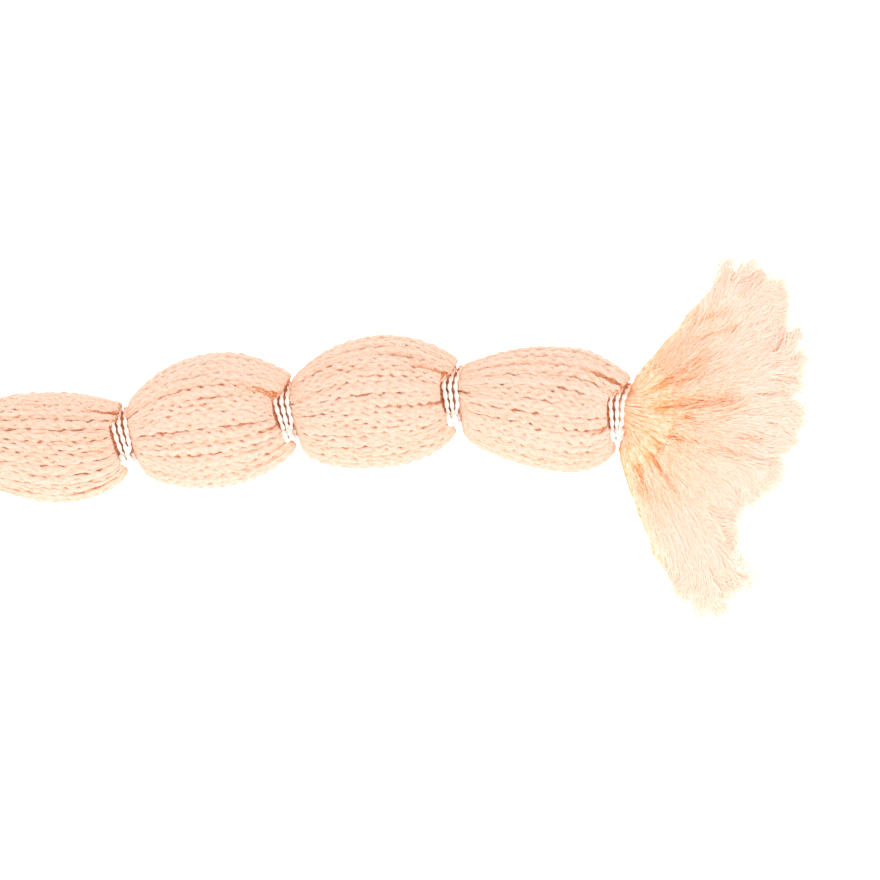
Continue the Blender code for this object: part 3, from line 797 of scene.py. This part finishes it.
def wound_thread(tie, random):
    """The turns round a neck, which start and end under the knot."""
    middle, along, far = tie_frame(tie)
    turned = np.linspace(0.0, 360.0 * TIE_TURNS, TIE_TURNS * TURN_POINTS + 1)
    angle = np.radians(turned + KNOT_ANGLE)
    pitch = TURN_PITCH * (1.0 + TURN_CONVERGENCE * np.cos(angle))
    tucked = 1.0 - smoothstep(np.minimum(turned, turned[-1] - turned), 0.0, TUCK_ANGLE)
    axial = (turned / 360.0 - TIE_TURNS / 2.0) * pitch * (1.0 - TUCK_DRAW * tucked)
    axial = axial + far_bend(angle, tie.bend)
    wave = SWAY_WAVES * angle + random.uniform(*ANY_PHASE) + turned / SWAY_DRIFT
    sway = TURN_SWAY * np.sin(wave)
    radius = TIE_INNER + THREAD / 2.0 + TUCK_RISE * tucked + sway
    out = far * np.cos(angle)[:, None] + UP * np.sin(angle)[:, None]
    path = middle + out * radius[:, None] + along * (axial + sway)[:, None]
    return two_plies(path, out, random.uniform(*ANY_PHASE))


def knot_thread(tie, random):
    """A tight barrel knot on the near side of the turns, its ends tucked under it."""
    middle, along, far = tie_frame(tie)
    share = np.linspace(0.0, 1.0, KNOT_POINTS)
    angle = math.radians(KNOT_ANGLE)
    out = far * math.cos(angle) + UP * math.sin(angle)
    around = np.cross(along, out)
    turn = FULL_TURN * KNOT_TURNS * share
    radius = KNOT_WAIST + KNOT_SWELL * np.sin(np.pi * share)
    tucked = 1.0 - smoothstep(np.minimum(share, 1.0 - share), 0.0, KNOT_TUCK)
    outward = TIE_INNER + THREAD + KNOT_OUT + radius * np.cos(turn) - KNOT_TUCK_DEPTH * tucked
    path = (
        middle
        + along * (KNOT_LENGTH * (share - 0.5))[:, None]
        + out * outward[:, None]
        + around * (radius * np.sin(turn))[:, None]
    )
    return two_plies(path, np.broadcast_to(out, path.shape), random.uniform(*ANY_PHASE))


def thread_tubes(plies, radius, openness):
    """Tubes of a thread's plies, from their paths and outward vectors."""
    path, out = plies
    size = np.full(path.shape[:2], radius)
    return Tubes(path, out, size, size, np.zeros_like(size), np.full_like(size, openness))


def add_painted_bounce(piece, tie):
    """Store how much painted shade, tinted by light bounced off the yarn, a tie's thread takes on: all
    of it round its far side.
    """
    place = np.zeros(len(piece.data.vertices) * 3)
    piece.data.vertices.foreach_get("co", place)
    middle, _, far = tie_frame(tie)
    offset = place.reshape(-1, 3) / MM - middle
    add_value(piece.data, "painted_bounce", smoothstep(offset @ far, *PAINTED_BOUNCE_REACH))


# --- cut ends ------------------------------------------------------------------------------------

class Fan:
    """Where a cut end's head and locks run: x and y from its tie's middle, z from the ground.

    Across goes from -1 to 1 over the columns of locks. A level goes from 0 on the ground to the
    number of layers at the top of the heap.
    """

    def __init__(self, end, clefts=()):
        self.end = end
        self.clefts = clefts
        self.middle = np.array([end.tie.x, end.tie.y, 0.0])
        random = np.random.default_rng(end.seed)
        spread = (end.columns, end.layers)
        self.length_scale = 1.0 + random.uniform(-LENGTH_JITTER, LENGTH_JITTER, spread)
        self.phase = random.uniform(0.0, FULL_TURN, end.layers)
        backwards = math.cos(math.radians(end.heading - end.tie.heading)) < 0.0
        self.to_right = -1.0 if backwards else 1.0
        self.neck_heading = end.tie.heading + (180.0 if backwards else 0.0)

    def distance(self, path):
        """Distance over the ground from the tie's middle."""
        return np.linalg.norm((path - self.middle)[..., :2], axis=-1)

    def root_heading(self, across):
        """Headings at which yarns leave the head."""
        low, high = self.end.root_span
        return low + (high - low) * (across + 1.0) / 2.0

    def tip_heading(self, across, level):
        """Headings of tips, drawn towards the middle of their clumps."""
        low, high = self.end.tip_span
        waves = np.pi * self.end.clumps
        phase = self.phase[np.clip(level.astype(int), 0, self.end.layers - 1)]
        sway = CLUMP_SWAY / waves * np.sin(waves * across + phase)
        return low + (high - low) * (across + sway + 1.0) / 2.0

    def reach(self, across, level):
        """Distance from the tie's middle to the tips."""
        end = self.end
        headings = [row.heading for row in end.outline]
        lengths = [row.length for row in end.outline]
        full = np.interp(self.tip_heading(across, level), headings, lengths)
        layer = np.clip(level.astype(int), 0, end.layers - 1)
        column = np.clip(((across + 1.0) / 2.0 * end.columns).astype(int), 0, end.columns - 1)
        layer_reach = np.interp(level, np.arange(end.layers) + 0.5, end.layer_reach)
        return full * layer_reach * self.length_scale[column, layer]

    def root_height(self, across, level):
        """Height of the head's outer face, which is lower at its two sides."""
        up = 2.0 * level / self.end.layers - 1.0
        roundness = np.sqrt(1.0 - SIDE_FALL * across ** 2)
        return self.end.tie.z + up * self.end.head_half_height * roundness

    def neck_point(self, across, level, distance):
        """Points of the round neck at a distance along it; the heap's middle is at its middle."""
        up = 2.0 * level / self.end.layers - 1.0
        rim = np.maximum(np.maximum(np.abs(across), np.abs(up)), 1e-6)
        corner = 90.0 * self.end.columns / (self.end.columns + self.end.layers)
        aside, upward = across / rim, up / rim
        turn = np.where(
            np.abs(up) >= np.abs(across),
            np.sign(upward) * (90.0 - corner * aside),
            np.where(aside > 0.0, (90.0 - corner) * upward, 180.0 - (90.0 - corner) * upward),
        )
        angle = np.radians(turn)
        aside = NECK_RADIUS * rim * np.cos(angle)
        upward = self.end.tie.z + NECK_RADIUS * rim * np.sin(angle)
        onward = distance + self.to_right * far_bend(
            np.arccos(self.to_right * np.cos(angle)), self.end.tie.bend
        )
        place = UP * upward[..., None]
        place = place + directions(np.array(self.neck_heading + 90.0)) * aside[..., None]
        return place + directions(np.array(self.neck_heading)) * onward[..., None]

    def lying_height(self, across, level):
        """Height of a level where the heap lies on the ground."""
        return self.end.layer_pitch * (1.0 - PILE_FALL * across ** 2) * level

    def edge_turn(self, across, radius):
        """Turn of the headings that bends the fan's two edges."""
        radii, low, high = np.array(self.end.edges).T
        at_low, at_high = np.maximum(0.0, -across) ** 2, np.maximum(0.0, across) ** 2
        return at_low * np.interp(radius, radii, low) + at_high * np.interp(radius, radii, high)

    def open_clefts(self, heading, radius):
        """Turn headings aside from the clefts, and tell how deep the points sink there."""
        sunk = np.zeros_like(heading)
        for cleft in self.clefts:
            ends = (cleft.start, cleft.end)
            middle = np.interp(radius, ends, (cleft.heading_in, cleft.heading_out))
            opened = smoothstep(radius, cleft.start - CLEFT_FADE, cleft.start + CLEFT_OPENED)
            closed = smoothstep(radius, cleft.end - CLEFT_FADE, cleft.end + CLEFT_FADE)
            off = (heading - middle) / cleft.half_width
            close = np.exp(-(off ** 2)) * opened * (1.0 - closed)
            shift = CLEFT_SHIFT * cleft.half_width
            heading = heading + shift * close * np.tanh(CLEFT_EDGE * off)
            sunk = sunk + cleft.depth * close
        return heading, sunk

    def point(self, across, level, radius):
        """Points of the heap outside the head, and how deep they lie in its clefts."""
        end = self.end
        share = (radius - end.root_radius) / (self.reach(across, level) - end.root_radius)
        share = np.clip(share, 0.0, PAST_TIPS)
        heading = (1.0 - share) * self.root_heading(across) + share * self.tip_heading(across, level)
        heading = heading + self.edge_turn(across, radius)
        heading, sunk = self.open_clefts(heading, radius)
        fall = np.clip((end.landing - radius) / (end.landing - end.root_radius), 0.0, 1.0) ** DROOP
        lying = self.lying_height(across, level)
        height = lying + (self.root_height(across, level) - lying) * fall
        height = np.maximum(height - CLEFT_SINK * sunk * level / end.layers, LEAST_HEIGHT)
        return directions(end.heading + heading) * radius[..., None] + UP * height[..., None], sunk

    def paths(self, across, level, reach):
        """Paths (yarn, point) from the neck under the tie to a distance from the tie's middle."""
        root = self.end.root_radius
        flat = np.zeros_like(across)
        places = [self.neck_point(across, level, distance) for distance in NECK_ROWS]
        neck = places[-1]
        face, _ = self.point(across, level, flat + root)
        for row in range(1, HEAD_ROWS):
            places.append(neck + (face - neck) * (row / HEAD_ROWS) ** HEAD_FLARE)
        sinks = [flat] * len(places)
        for share in np.linspace(0.0, 1.0, FAN_ROWS):
            place, sunk = self.point(across, level, root + (reach - root) * share)
            places.append(place)
            sinks.append(sunk)
        return np.stack(places, axis=1) + self.middle, np.stack(sinks, axis=1)


def heap_openness(look, height, radius, sunk, lit=1.0):
    """Openness, which paints shade and light, at a share of a heap's height and a distance from its tie;
    lit dims it near the tie as painted shadow.
    """
    gained = look.base + look.top * height + look.out * smoothstep(radius, *look.reach)
    return gained * lit - look.cleft * sunk


def spread_yarns(random, layers, yarns):
    """Places of yarns over a heap, a little uneven: across, and level."""
    across = (np.arange(yarns.across) + 0.5) / yarns.across * 2.0 - 1.0
    level = (np.arange(yarns.up) + 0.5) / yarns.up * layers
    across, level = (grid.ravel() for grid in np.meshgrid(across, level))
    stray = random.uniform(-PLACE_JITTER, PLACE_JITTER, across.shape)
    across = np.clip(across + 2.0 * stray / yarns.across, -FAN_EDGE, FAN_EDGE)
    stray = random.uniform(-PLACE_JITTER, PLACE_JITTER, level.shape)
    return across, level + stray * layers / yarns.up


def fan_yarns(fan, yarns, random):
    """Crimped two-ply yarns of a cut end, from under its tie out to their reach."""
    end = fan.end
    across, level = spread_yarns(random, end.layers, yarns)
    reach = fan.reach(across, level) * random.uniform(*yarns.reach, across.shape)
    path, sunk = fan.paths(across, level, reach)
    path, extra = resample(path, sunk[..., None], yarns.points)
    path = smooth_paths(path, FAN_SMOOTHING)
    normal = square_to(UP, tangents(path))
    radius = fan.distance(path)
    spacing = math.radians(end.root_span[1] - end.root_span[0]) / yarns.across
    half_width = np.clip(FAN_FILL * radius * spacing, *FAN_HALF_WIDTH)
    run = run_lengths(path)
    half_width = half_width * (
        1.0 - yarns.thinning * smoothstep(run / run[:, -1:], THINNING_START, 1.0)
    )
    swing = yarns.swing * smoothstep(radius, *FAN_CRIMP_START)
    path, twist = crimp(
        random, path, normal, FAN_CRIMP_LENGTH, swing, FAN_CRIMP_RISE, FAN_LEAD
    )
    # Painted shade and light: lighter higher in the heap and further out, painted shadow near the tie,
    # painted shade in clefts.
    height = level[:, None] / end.layers
    lit = smoothstep(radius, *TIE_SHADOW)
    openness = heap_openness(yarns.openness, height, radius, extra[..., 0], lit)
    openness = openness + random.uniform(-FAN_VARIETY, FAN_VARIETY, (len(path), 1))
    return Tubes(path, normal, half_width, half_width * FAN_FLATNESS, twist, openness)


def brushed_locks(fan, random):
    """Soft locks that the yarns are brushed into, from under the tie to their tips."""
    end = fan.end
    column, layer = (grid.ravel() for grid in np.meshgrid(range(end.columns), range(end.layers)))
    across = (2 * column + 1) / end.columns - 1.0
    level = layer + 0.5
    path, sunk = fan.paths(across, level, LOCK_BODY * fan.reach(across, level))
    path, extra = resample(path, sunk[..., None], LOCK_POINTS)
    share = np.linspace(0.0, 1.0, LOCK_POINTS)[None]
    radius = fan.distance(path)
    room = radius * np.radians(end.tip_span[1] - end.tip_span[0]) / end.columns
    room = np.clip(room, LOCK_ROOM_LEAST, LOCK_ROOM_MOST * end.lock_width)
    narrowing = 1.0 - LOCK_NARROWING * smoothstep(share, LOCK_NARROWING_START, 1.0)
    closing = 1.0 - LOCK_CLOSING * smoothstep(share, LOCK_CLOSING_START, 1.0)
    lump = 1.0 + LOCK_LUMP * drift(random, len(column), LOCK_LUMP_RUN * share)
    half_width = LOCK_FILL * room * narrowing * lump
    half_height = np.minimum(LOCK_THICKNESS * end.layer_pitch * closing * lump, half_width)
    normal = np.broadcast_to(UP, path.shape)
    # Painted shade and light of the locks: darker low and near the tie, lighter higher up and further
    # out, darker in clefts.
    openness = heap_openness(LOCK_OPENNESS, level[:, None] / end.layers, radius, extra[..., 0])
    return Tubes(path, normal, half_width, half_height, np.zeros_like(room), openness)


def brushed_fibres(fan, random):
    """Loose fibres over the face of the heap and out past the tips of its locks."""
    each = (FIBRES, 1)
    across = random.uniform(-FAN_EDGE, FAN_EDGE, each)
    full = fan.reach(across, np.full_like(across, FIBRE_LEVEL))
    first = random.uniform(FIBRE_START ** 2, (FIBRE_LAST_START * full) ** 2) ** 0.5
    last = first + random.uniform(*FIBRE_LENGTH, each)
    last = np.minimum(last, full * random.uniform(*FIBRE_TIP, each))
    grown = np.linspace(0.0, 1.0, FIBRE_POINTS)[None]
    radius = first + (last - first) * grown
    level = np.interp(radius / full, *HEAP_TOP)
    deeper = random.random(each) < DEEP_SHARE
    level = level * np.where(deeper, random.uniform(*DEEP_LEVEL, each), 1.0)
    path, sunk = fan.point(np.broadcast_to(across, radius.shape), level, radius)
    path = path + fan.middle
    side = unit(np.cross(UP, tangents(path)))
    slope = random.uniform(-FIBRE_SPREAD, FIBRE_SPREAD, each) * (radius - first)
    bend = random.uniform(-FIBRE_BEND, FIBRE_BEND, each) * grown ** 2
    curl = random.uniform(*FIBRE_CURL, each)
    curl = curl * np.sin(FIBRE_CURL_RUN * grown + random.uniform(*ANY_PHASE, each))
    lift = random.uniform(*FIBRE_LIFT, each) * np.sin(FIBRE_LIFT_RUN * np.pi * grown)
    path = path + side * (slope + bend + curl)[..., None] + UP * lift[..., None]
    path[..., 2] = np.maximum(path[..., 2], FIBRE_RADIUS)
    width = FIBRE_RADIUS * (1.0 - FIBRE_TAPER * smoothstep(grown, FIBRE_TAPER_START, 1.0))
    width = np.broadcast_to(width, radius.shape)
    upright = np.full_like(width, 0.5 * np.pi)
    normal = np.broadcast_to(UP, path.shape)
    # Painted light further out, painted shade in the clefts.
    openness = heap_openness(FIBRE_OPENNESS, 0.0, radius, sunk)
    openness = openness + random.uniform(-FIBRE_VARIETY, FIBRE_VARIETY, each)
    return Tubes(path, normal, width, FIBRE_FLATNESS * width, upright, openness)


# --- materials -----------------------------------------------------------------------------------

# Colours of yarn and thread, from painted shade deep between them to painted light on their sunlit tops:
# position and hex code.
PEACH_STOPS = (
    (0.0, "#CE6A35"), (0.22, "#E79F6C"), (0.45, "#F2BE98"), (0.70, "#F9D0B3"), (0.98, "#FEDFCB"),
)
BRUSHED_STOPS = (
    (0.0, "#E8964E"), (0.22, "#F4B27C"), (0.45, "#F9CDA6"), (0.70, "#FFE2C8"), (0.98, "#FFEBDE"),
)
COTTON_STOPS = (
    (0.0, "#A04A18"), (0.20, "#D88F5C"), (0.42, "#F6CDB0"), (0.62, "#FBE5D5"), (0.82, "#FFFCF5"),
)
PAINTED_BOUNCE = "#FBD8C2"              # painted shade on the thread, tinted by light bounced off the yarn next to it
GLOW = "#FFC2AC"               # painted glow: emission that stands in for light that loose fibres pass on to each other
WHITE = "#FFFFFF"
LAMINATE = "#F7F7F7"

# Fibre streaks to a millimetre, across a ply and along it. Real fibres are about 0.02 mm thick, too
# fine to show, so a streak stands for a bunch of them, 0.33 mm wide and 1.7 mm long.
STREAKS_PER_MM = (3.0, 3.0, 0.6)
STREAK_DETAIL = 3.0
STREAK_ROUGHNESS = 0.6
STREAK_SHADE = 2.1             # how far a streak moves the colour, as openness does
PATCH_SIZE = 7.0               # millimetres of a slightly lighter or darker patch of yarn
PATCH_DETAIL = 2.0
PATCH_SHADE = 0.16
TINT_SHADE = 0.08              # how far one yarn's colour is from the next's
BUMP_STRENGTH = 0.6
SHEEN_ROUGHNESS = 0.5
FIBRE_IOR = 1.5                # typical of acrylic and of cotton
FIBRE_GLOSS = 0.25             # loose fibres scatter most of their gloss


def colour(code):
    """Linear colour of an sRGB hex code."""
    parts = [int(code[start:start + 2], 16) / 255.0 for start in (1, 3, 5)]
    linear = [
        part / 12.92 if part <= 0.04045 else ((part + 0.055) / 1.055) ** 2.4 for part in parts
    ]
    return (*linear, 1.0)


def set_inputs(tree, node, inputs):
    """Set or link a node's inputs, which go by name or number."""
    for key, value in inputs.items():
        if isinstance(value, bpy.types.NodeSocket):
            tree.links.new(value, node.inputs[key])
        else:
            node.inputs[key].default_value = value


def add_node(tree, kind, inputs=None, **settings):
    """Add a node with its settings and inputs."""
    node = tree.nodes.new(kind)
    for name, value in settings.items():
        setattr(node, name, value)
    set_inputs(tree, node, inputs or {})
    return node


def set_ramp(node, stops):
    """Give a colour ramp its stops: position and hex code."""
    ramp = node.color_ramp
    while len(ramp.elements) < len(stops):
        ramp.elements.new(0.5)
    for element, (position, code) in zip(ramp.elements, stops):
        element.position = position
        element.color = colour(code)


def spun_material(name, stops, sheen, roughness, relief, glow):
    """Spun fibres: matt with a soft sheen, streaks along each ply, painted warmer shade where they lie
    deep, and a faint painted glow.
    """
    material = bpy.data.materials.new(name)
    material.use_nodes = True
    tree = material.node_tree
    openness, straight, tint, painted_bounce = (
        add_node(tree, "ShaderNodeAttribute", attribute_name=value)
        for value in ("openness", "straight", "tint", "painted_bounce")
    )
    stretched = add_node(
        tree, "ShaderNodeMapping", {"Vector": straight.outputs["Vector"], "Scale": STREAKS_PER_MM}
    )
    streaks = add_node(
        tree, "ShaderNodeTexNoise",
        {
            "Vector": stretched.outputs["Vector"], "Scale": 1.0,
            "Detail": STREAK_DETAIL, "Roughness": STREAK_ROUGHNESS,
        },
    )
    place = add_node(tree, "ShaderNodeTexCoord")
    patches = add_node(
        tree, "ShaderNodeTexNoise",
        {
            "Vector": place.outputs["Object"], "Scale": 1.0 / (PATCH_SIZE * MM),
            "Detail": PATCH_DETAIL,
        },
    )
    shade = openness.outputs["Fac"]
    for cause, amount in ((streaks, STREAK_SHADE), (patches, PATCH_SHADE), (tint, TINT_SHADE)):
        total = add_node(
            tree, "ShaderNodeMath", {0: cause.outputs["Fac"], 1: amount, 2: shade},
            operation="MULTIPLY_ADD",
        )
        shade = total.outputs[0]
    centred = add_node(
        tree, "ShaderNodeMath",
        {0: shade, 1: 0.5 * (STREAK_SHADE + PATCH_SHADE + TINT_SHADE)}, operation="SUBTRACT",
    )
    # Openness picks the colour from the ramp: painted shade deep down, painted light on the tops.
    ramp = add_node(tree, "ShaderNodeValToRGB", {"Fac": centred.outputs[0]})
    set_ramp(ramp, stops)
    # Painted shade, tinted by light bounced off the yarn, round a tie's far side.
    bounce_tinted = add_node(
        tree, "ShaderNodeMixRGB",
        {"Fac": painted_bounce.outputs["Fac"], "Color1": ramp.outputs["Color"], "Color2": colour(PAINTED_BOUNCE)},
        blend_type="MULTIPLY",
    )
    bump = add_node(
        tree, "ShaderNodeBump",
        {
            "Height": streaks.outputs["Fac"], "Strength": BUMP_STRENGTH,
            "Distance": relief * MM,
        },
    )
    set_inputs(tree, tree.nodes["Principled BSDF"], {
        "Base Color": bounce_tinted.outputs["Color"],
        "Normal": bump.outputs["Normal"],
        "Roughness": roughness,
        "Sheen Weight": sheen,
        "Sheen Roughness": SHEEN_ROUGHNESS,
        "IOR": FIBRE_IOR,
        "Specular IOR Level": FIBRE_GLOSS,
        # Emission is a painted glow for light passed on through the fibres.
        "Emission Color": colour(GLOW),
        "Emission Strength": glow,
    })
    return material


def peach_yarn():
    """Acrylic fibres spun into two plies and left fluffy: matt, streaked and pale at their edges."""
    return spun_material(
        "spun acrylic yarn, peach", PEACH_STOPS, sheen=0.3, roughness=0.85, relief=0.4, glow=0.05
    )


def brushed_yarn():
    """The same fibres brushed out: paler and smoother, with a painted glow for the light that shines
    through the locks.
    """
    return spun_material(
        "brushed acrylic yarn, pale peach", BRUSHED_STOPS, sheen=0.2, roughness=0.9, relief=0.06,
        glow=0.10,
    )


def cotton_thread():
    """Cotton spun hard into two plies: smooth and white, with painted brown shade where plies meet,
    painted bounce light from the yarn on its far side and a faint painted glow.
    """
    return spun_material(
        "two-ply cotton thread, white", COTTON_STOPS, sheen=0.0, roughness=0.7, relief=0.1,
        glow=0.05,
    )


def white_laminate():
    """A pressed white table top: even, matt and bright enough to burn out to plain white."""
    material = bpy.data.materials.new("white laminate")
    material.use_nodes = True
    tree = material.node_tree
    set_inputs(tree, tree.nodes["Principled BSDF"], {
        "Base Color": colour(LAMINATE),
        "Roughness": 0.9,
        "Emission Color": colour(WHITE),
        "Emission Strength": 0.6,
    })
    return material


# --- stage ---------------------------------------------------------------------------------------

VIEW_CENTRE = (31.35, -1.0)    # middle of the picture on the trim, seen straight from above
VIEW_WIDTH = 266.7             # of the picture, at the height where the trim's sides are widest
VIEW_LEVEL = 18.0              # that height
CAMERA_HEIGHT = 1200.0
TABLE_HALF_WIDTH = 2000.0
LAMP_PLACE = (0.05, -0.9, 1.1)    # metres
LAMP_SIZE = 0.9                # metres
LAMP_POWER = 5.0               # watts
ROOM_BRIGHTNESS = 1.05


def make_camera():
    """Camera straight above the trim, far enough for a flat perspective."""
    data = bpy.data.cameras.new("camera")
    data.angle = 2.0 * math.atan(VIEW_WIDTH / 2.0 / (CAMERA_HEIGHT - VIEW_LEVEL))
    camera = add_object("camera", data)
    camera.location = (VIEW_CENTRE[0] * MM, VIEW_CENTRE[1] * MM, CAMERA_HEIGHT * MM)
    bpy.context.scene.camera = camera


def make_lamp():
    """Broad square lamp over the near side, aimed at the middle of the view."""
    data = bpy.data.lights.new("near_lamp", "AREA")
    data.energy = LAMP_POWER
    data.size = LAMP_SIZE
    lamp = add_object("near_lamp", data)
    lamp.location = LAMP_PLACE
    aim = np.array([VIEW_CENTRE[0] * MM, VIEW_CENTRE[1] * MM, 0.0]) - np.array(LAMP_PLACE)
    lamp.rotation_euler = Vector(aim).to_track_quat("-Z", "Y").to_euler()


def make_table():
    """Wide white table under the trim."""
    table = bmesh.new()
    bmesh.ops.create_grid(table, x_segments=1, y_segments=1, size=TABLE_HALF_WIDTH * MM)
    data = bpy.data.meshes.new("table")
    table.to_mesh(data)
    table.free()
    data.materials.append(white_laminate())
    add_object("table", data)


def make_room():
    """Soft white light from all round."""
    room = bpy.data.worlds.new("room")
    room.use_nodes = True
    set_inputs(
        room.node_tree, room.node_tree.nodes["Background"],
        {"Color": colour(WHITE), "Strength": ROOM_BRIGHTNESS},
    )
    bpy.context.scene.world = room
    bpy.context.scene.view_settings.view_transform = "Standard"


# --- the trim ------------------------------------------------------------------------------------

def make_bobbles(peach):
    """The four bobbles: inner yarns, skin of yarns and loose fibres."""
    for number in range(len(BOBBLES)):
        random = np.random.default_rng(BOBBLE_SEED + number)
        name = f"bobble_{number + 1}"
        tubes = bobble_yarns(number, random)
        yarns = sweep(f"{name}_yarns", tubes, YARN_SIDES, PLY_WAIST, YARN_SHADE)
        hairs = sweep(f"{name}_hairs", bobble_hairs(number, random), LOOSE_SIDES)
        core = make_core(f"{name}_core", number)
        finish_piece(yarns, peach, "yarn_bundle")
        finish_piece(core, peach, "yarn_bundle")
        finish_piece(hairs, peach, "yarn_bundle", smooth=False)


def make_ties(cotton):
    """The five ties of two-ply thread, each with its knot."""
    for number, tie in enumerate(TIES):
        random = np.random.default_rng(TIE_SEED + number)
        turns = thread_tubes(wound_thread(tie, random), PLY_RADIUS, TURN_OPENNESS)
        knot = thread_tubes(knot_thread(tie, random), KNOT_PLY_RADIUS, KNOT_OPENNESS)
        turns = sweep("turns", turns, PLY_SIDES, shade=TURN_SHADE)
        knot = sweep("knot", knot, PLY_SIDES, shade=KNOT_SHADE)
        piece = join(f"{tie.name}_thread", [turns, knot])
        add_painted_bounce(piece, tie)
        finish_piece(piece, cotton, tie.name)


def make_tassel(brushed):
    """The fanned end: crimped yarns at its head, brushed locks and loose fibres further out."""
    random = np.random.default_rng(TASSEL_YARNS.seed)
    fan = Fan(TASSEL, CLEFTS)
    tubes = fan_yarns(fan, TASSEL_YARNS, random)
    yarns = sweep("tassel_yarns", tubes, YARN_SIDES, TASSEL_WAIST, TASSEL_SHADE, BRUSHED_SPIN)
    locks = sweep("tassel_locks", brushed_locks(fan, random), LOCK_SIDES, spin=0.0)
    finish_piece(yarns, brushed, TASSEL.name)
    finish_piece(locks, brushed, TASSEL.name)
    for number in (1, 2):
        fibres = sweep(f"tassel_fibres_{number}", brushed_fibres(fan, random), LOOSE_SIDES)
        finish_piece(fibres, brushed, TASSEL.name, smooth=False)


def make_stub(peach):
    """The plain cut end behind the first tie."""
    random = np.random.default_rng(STUB_YARNS.seed)
    tubes = fan_yarns(Fan(STUB), STUB_YARNS, random)
    piece = sweep("cut_end_yarns", tubes, YARN_SIDES, PLY_WAIST, YARN_SHADE)
    finish_piece(piece, peach, STUB.name)


def main():
    """The stage, and the trim from its left end to its right one."""
    make_camera()
    make_table()
    make_room()
    make_lamp()
    peach = peach_yarn()
    brushed = brushed_yarn()
    cotton = cotton_thread()
    make_bobbles(peach)
    make_ties(cotton)
    make_tassel(brushed)
    make_stub(peach)


main()
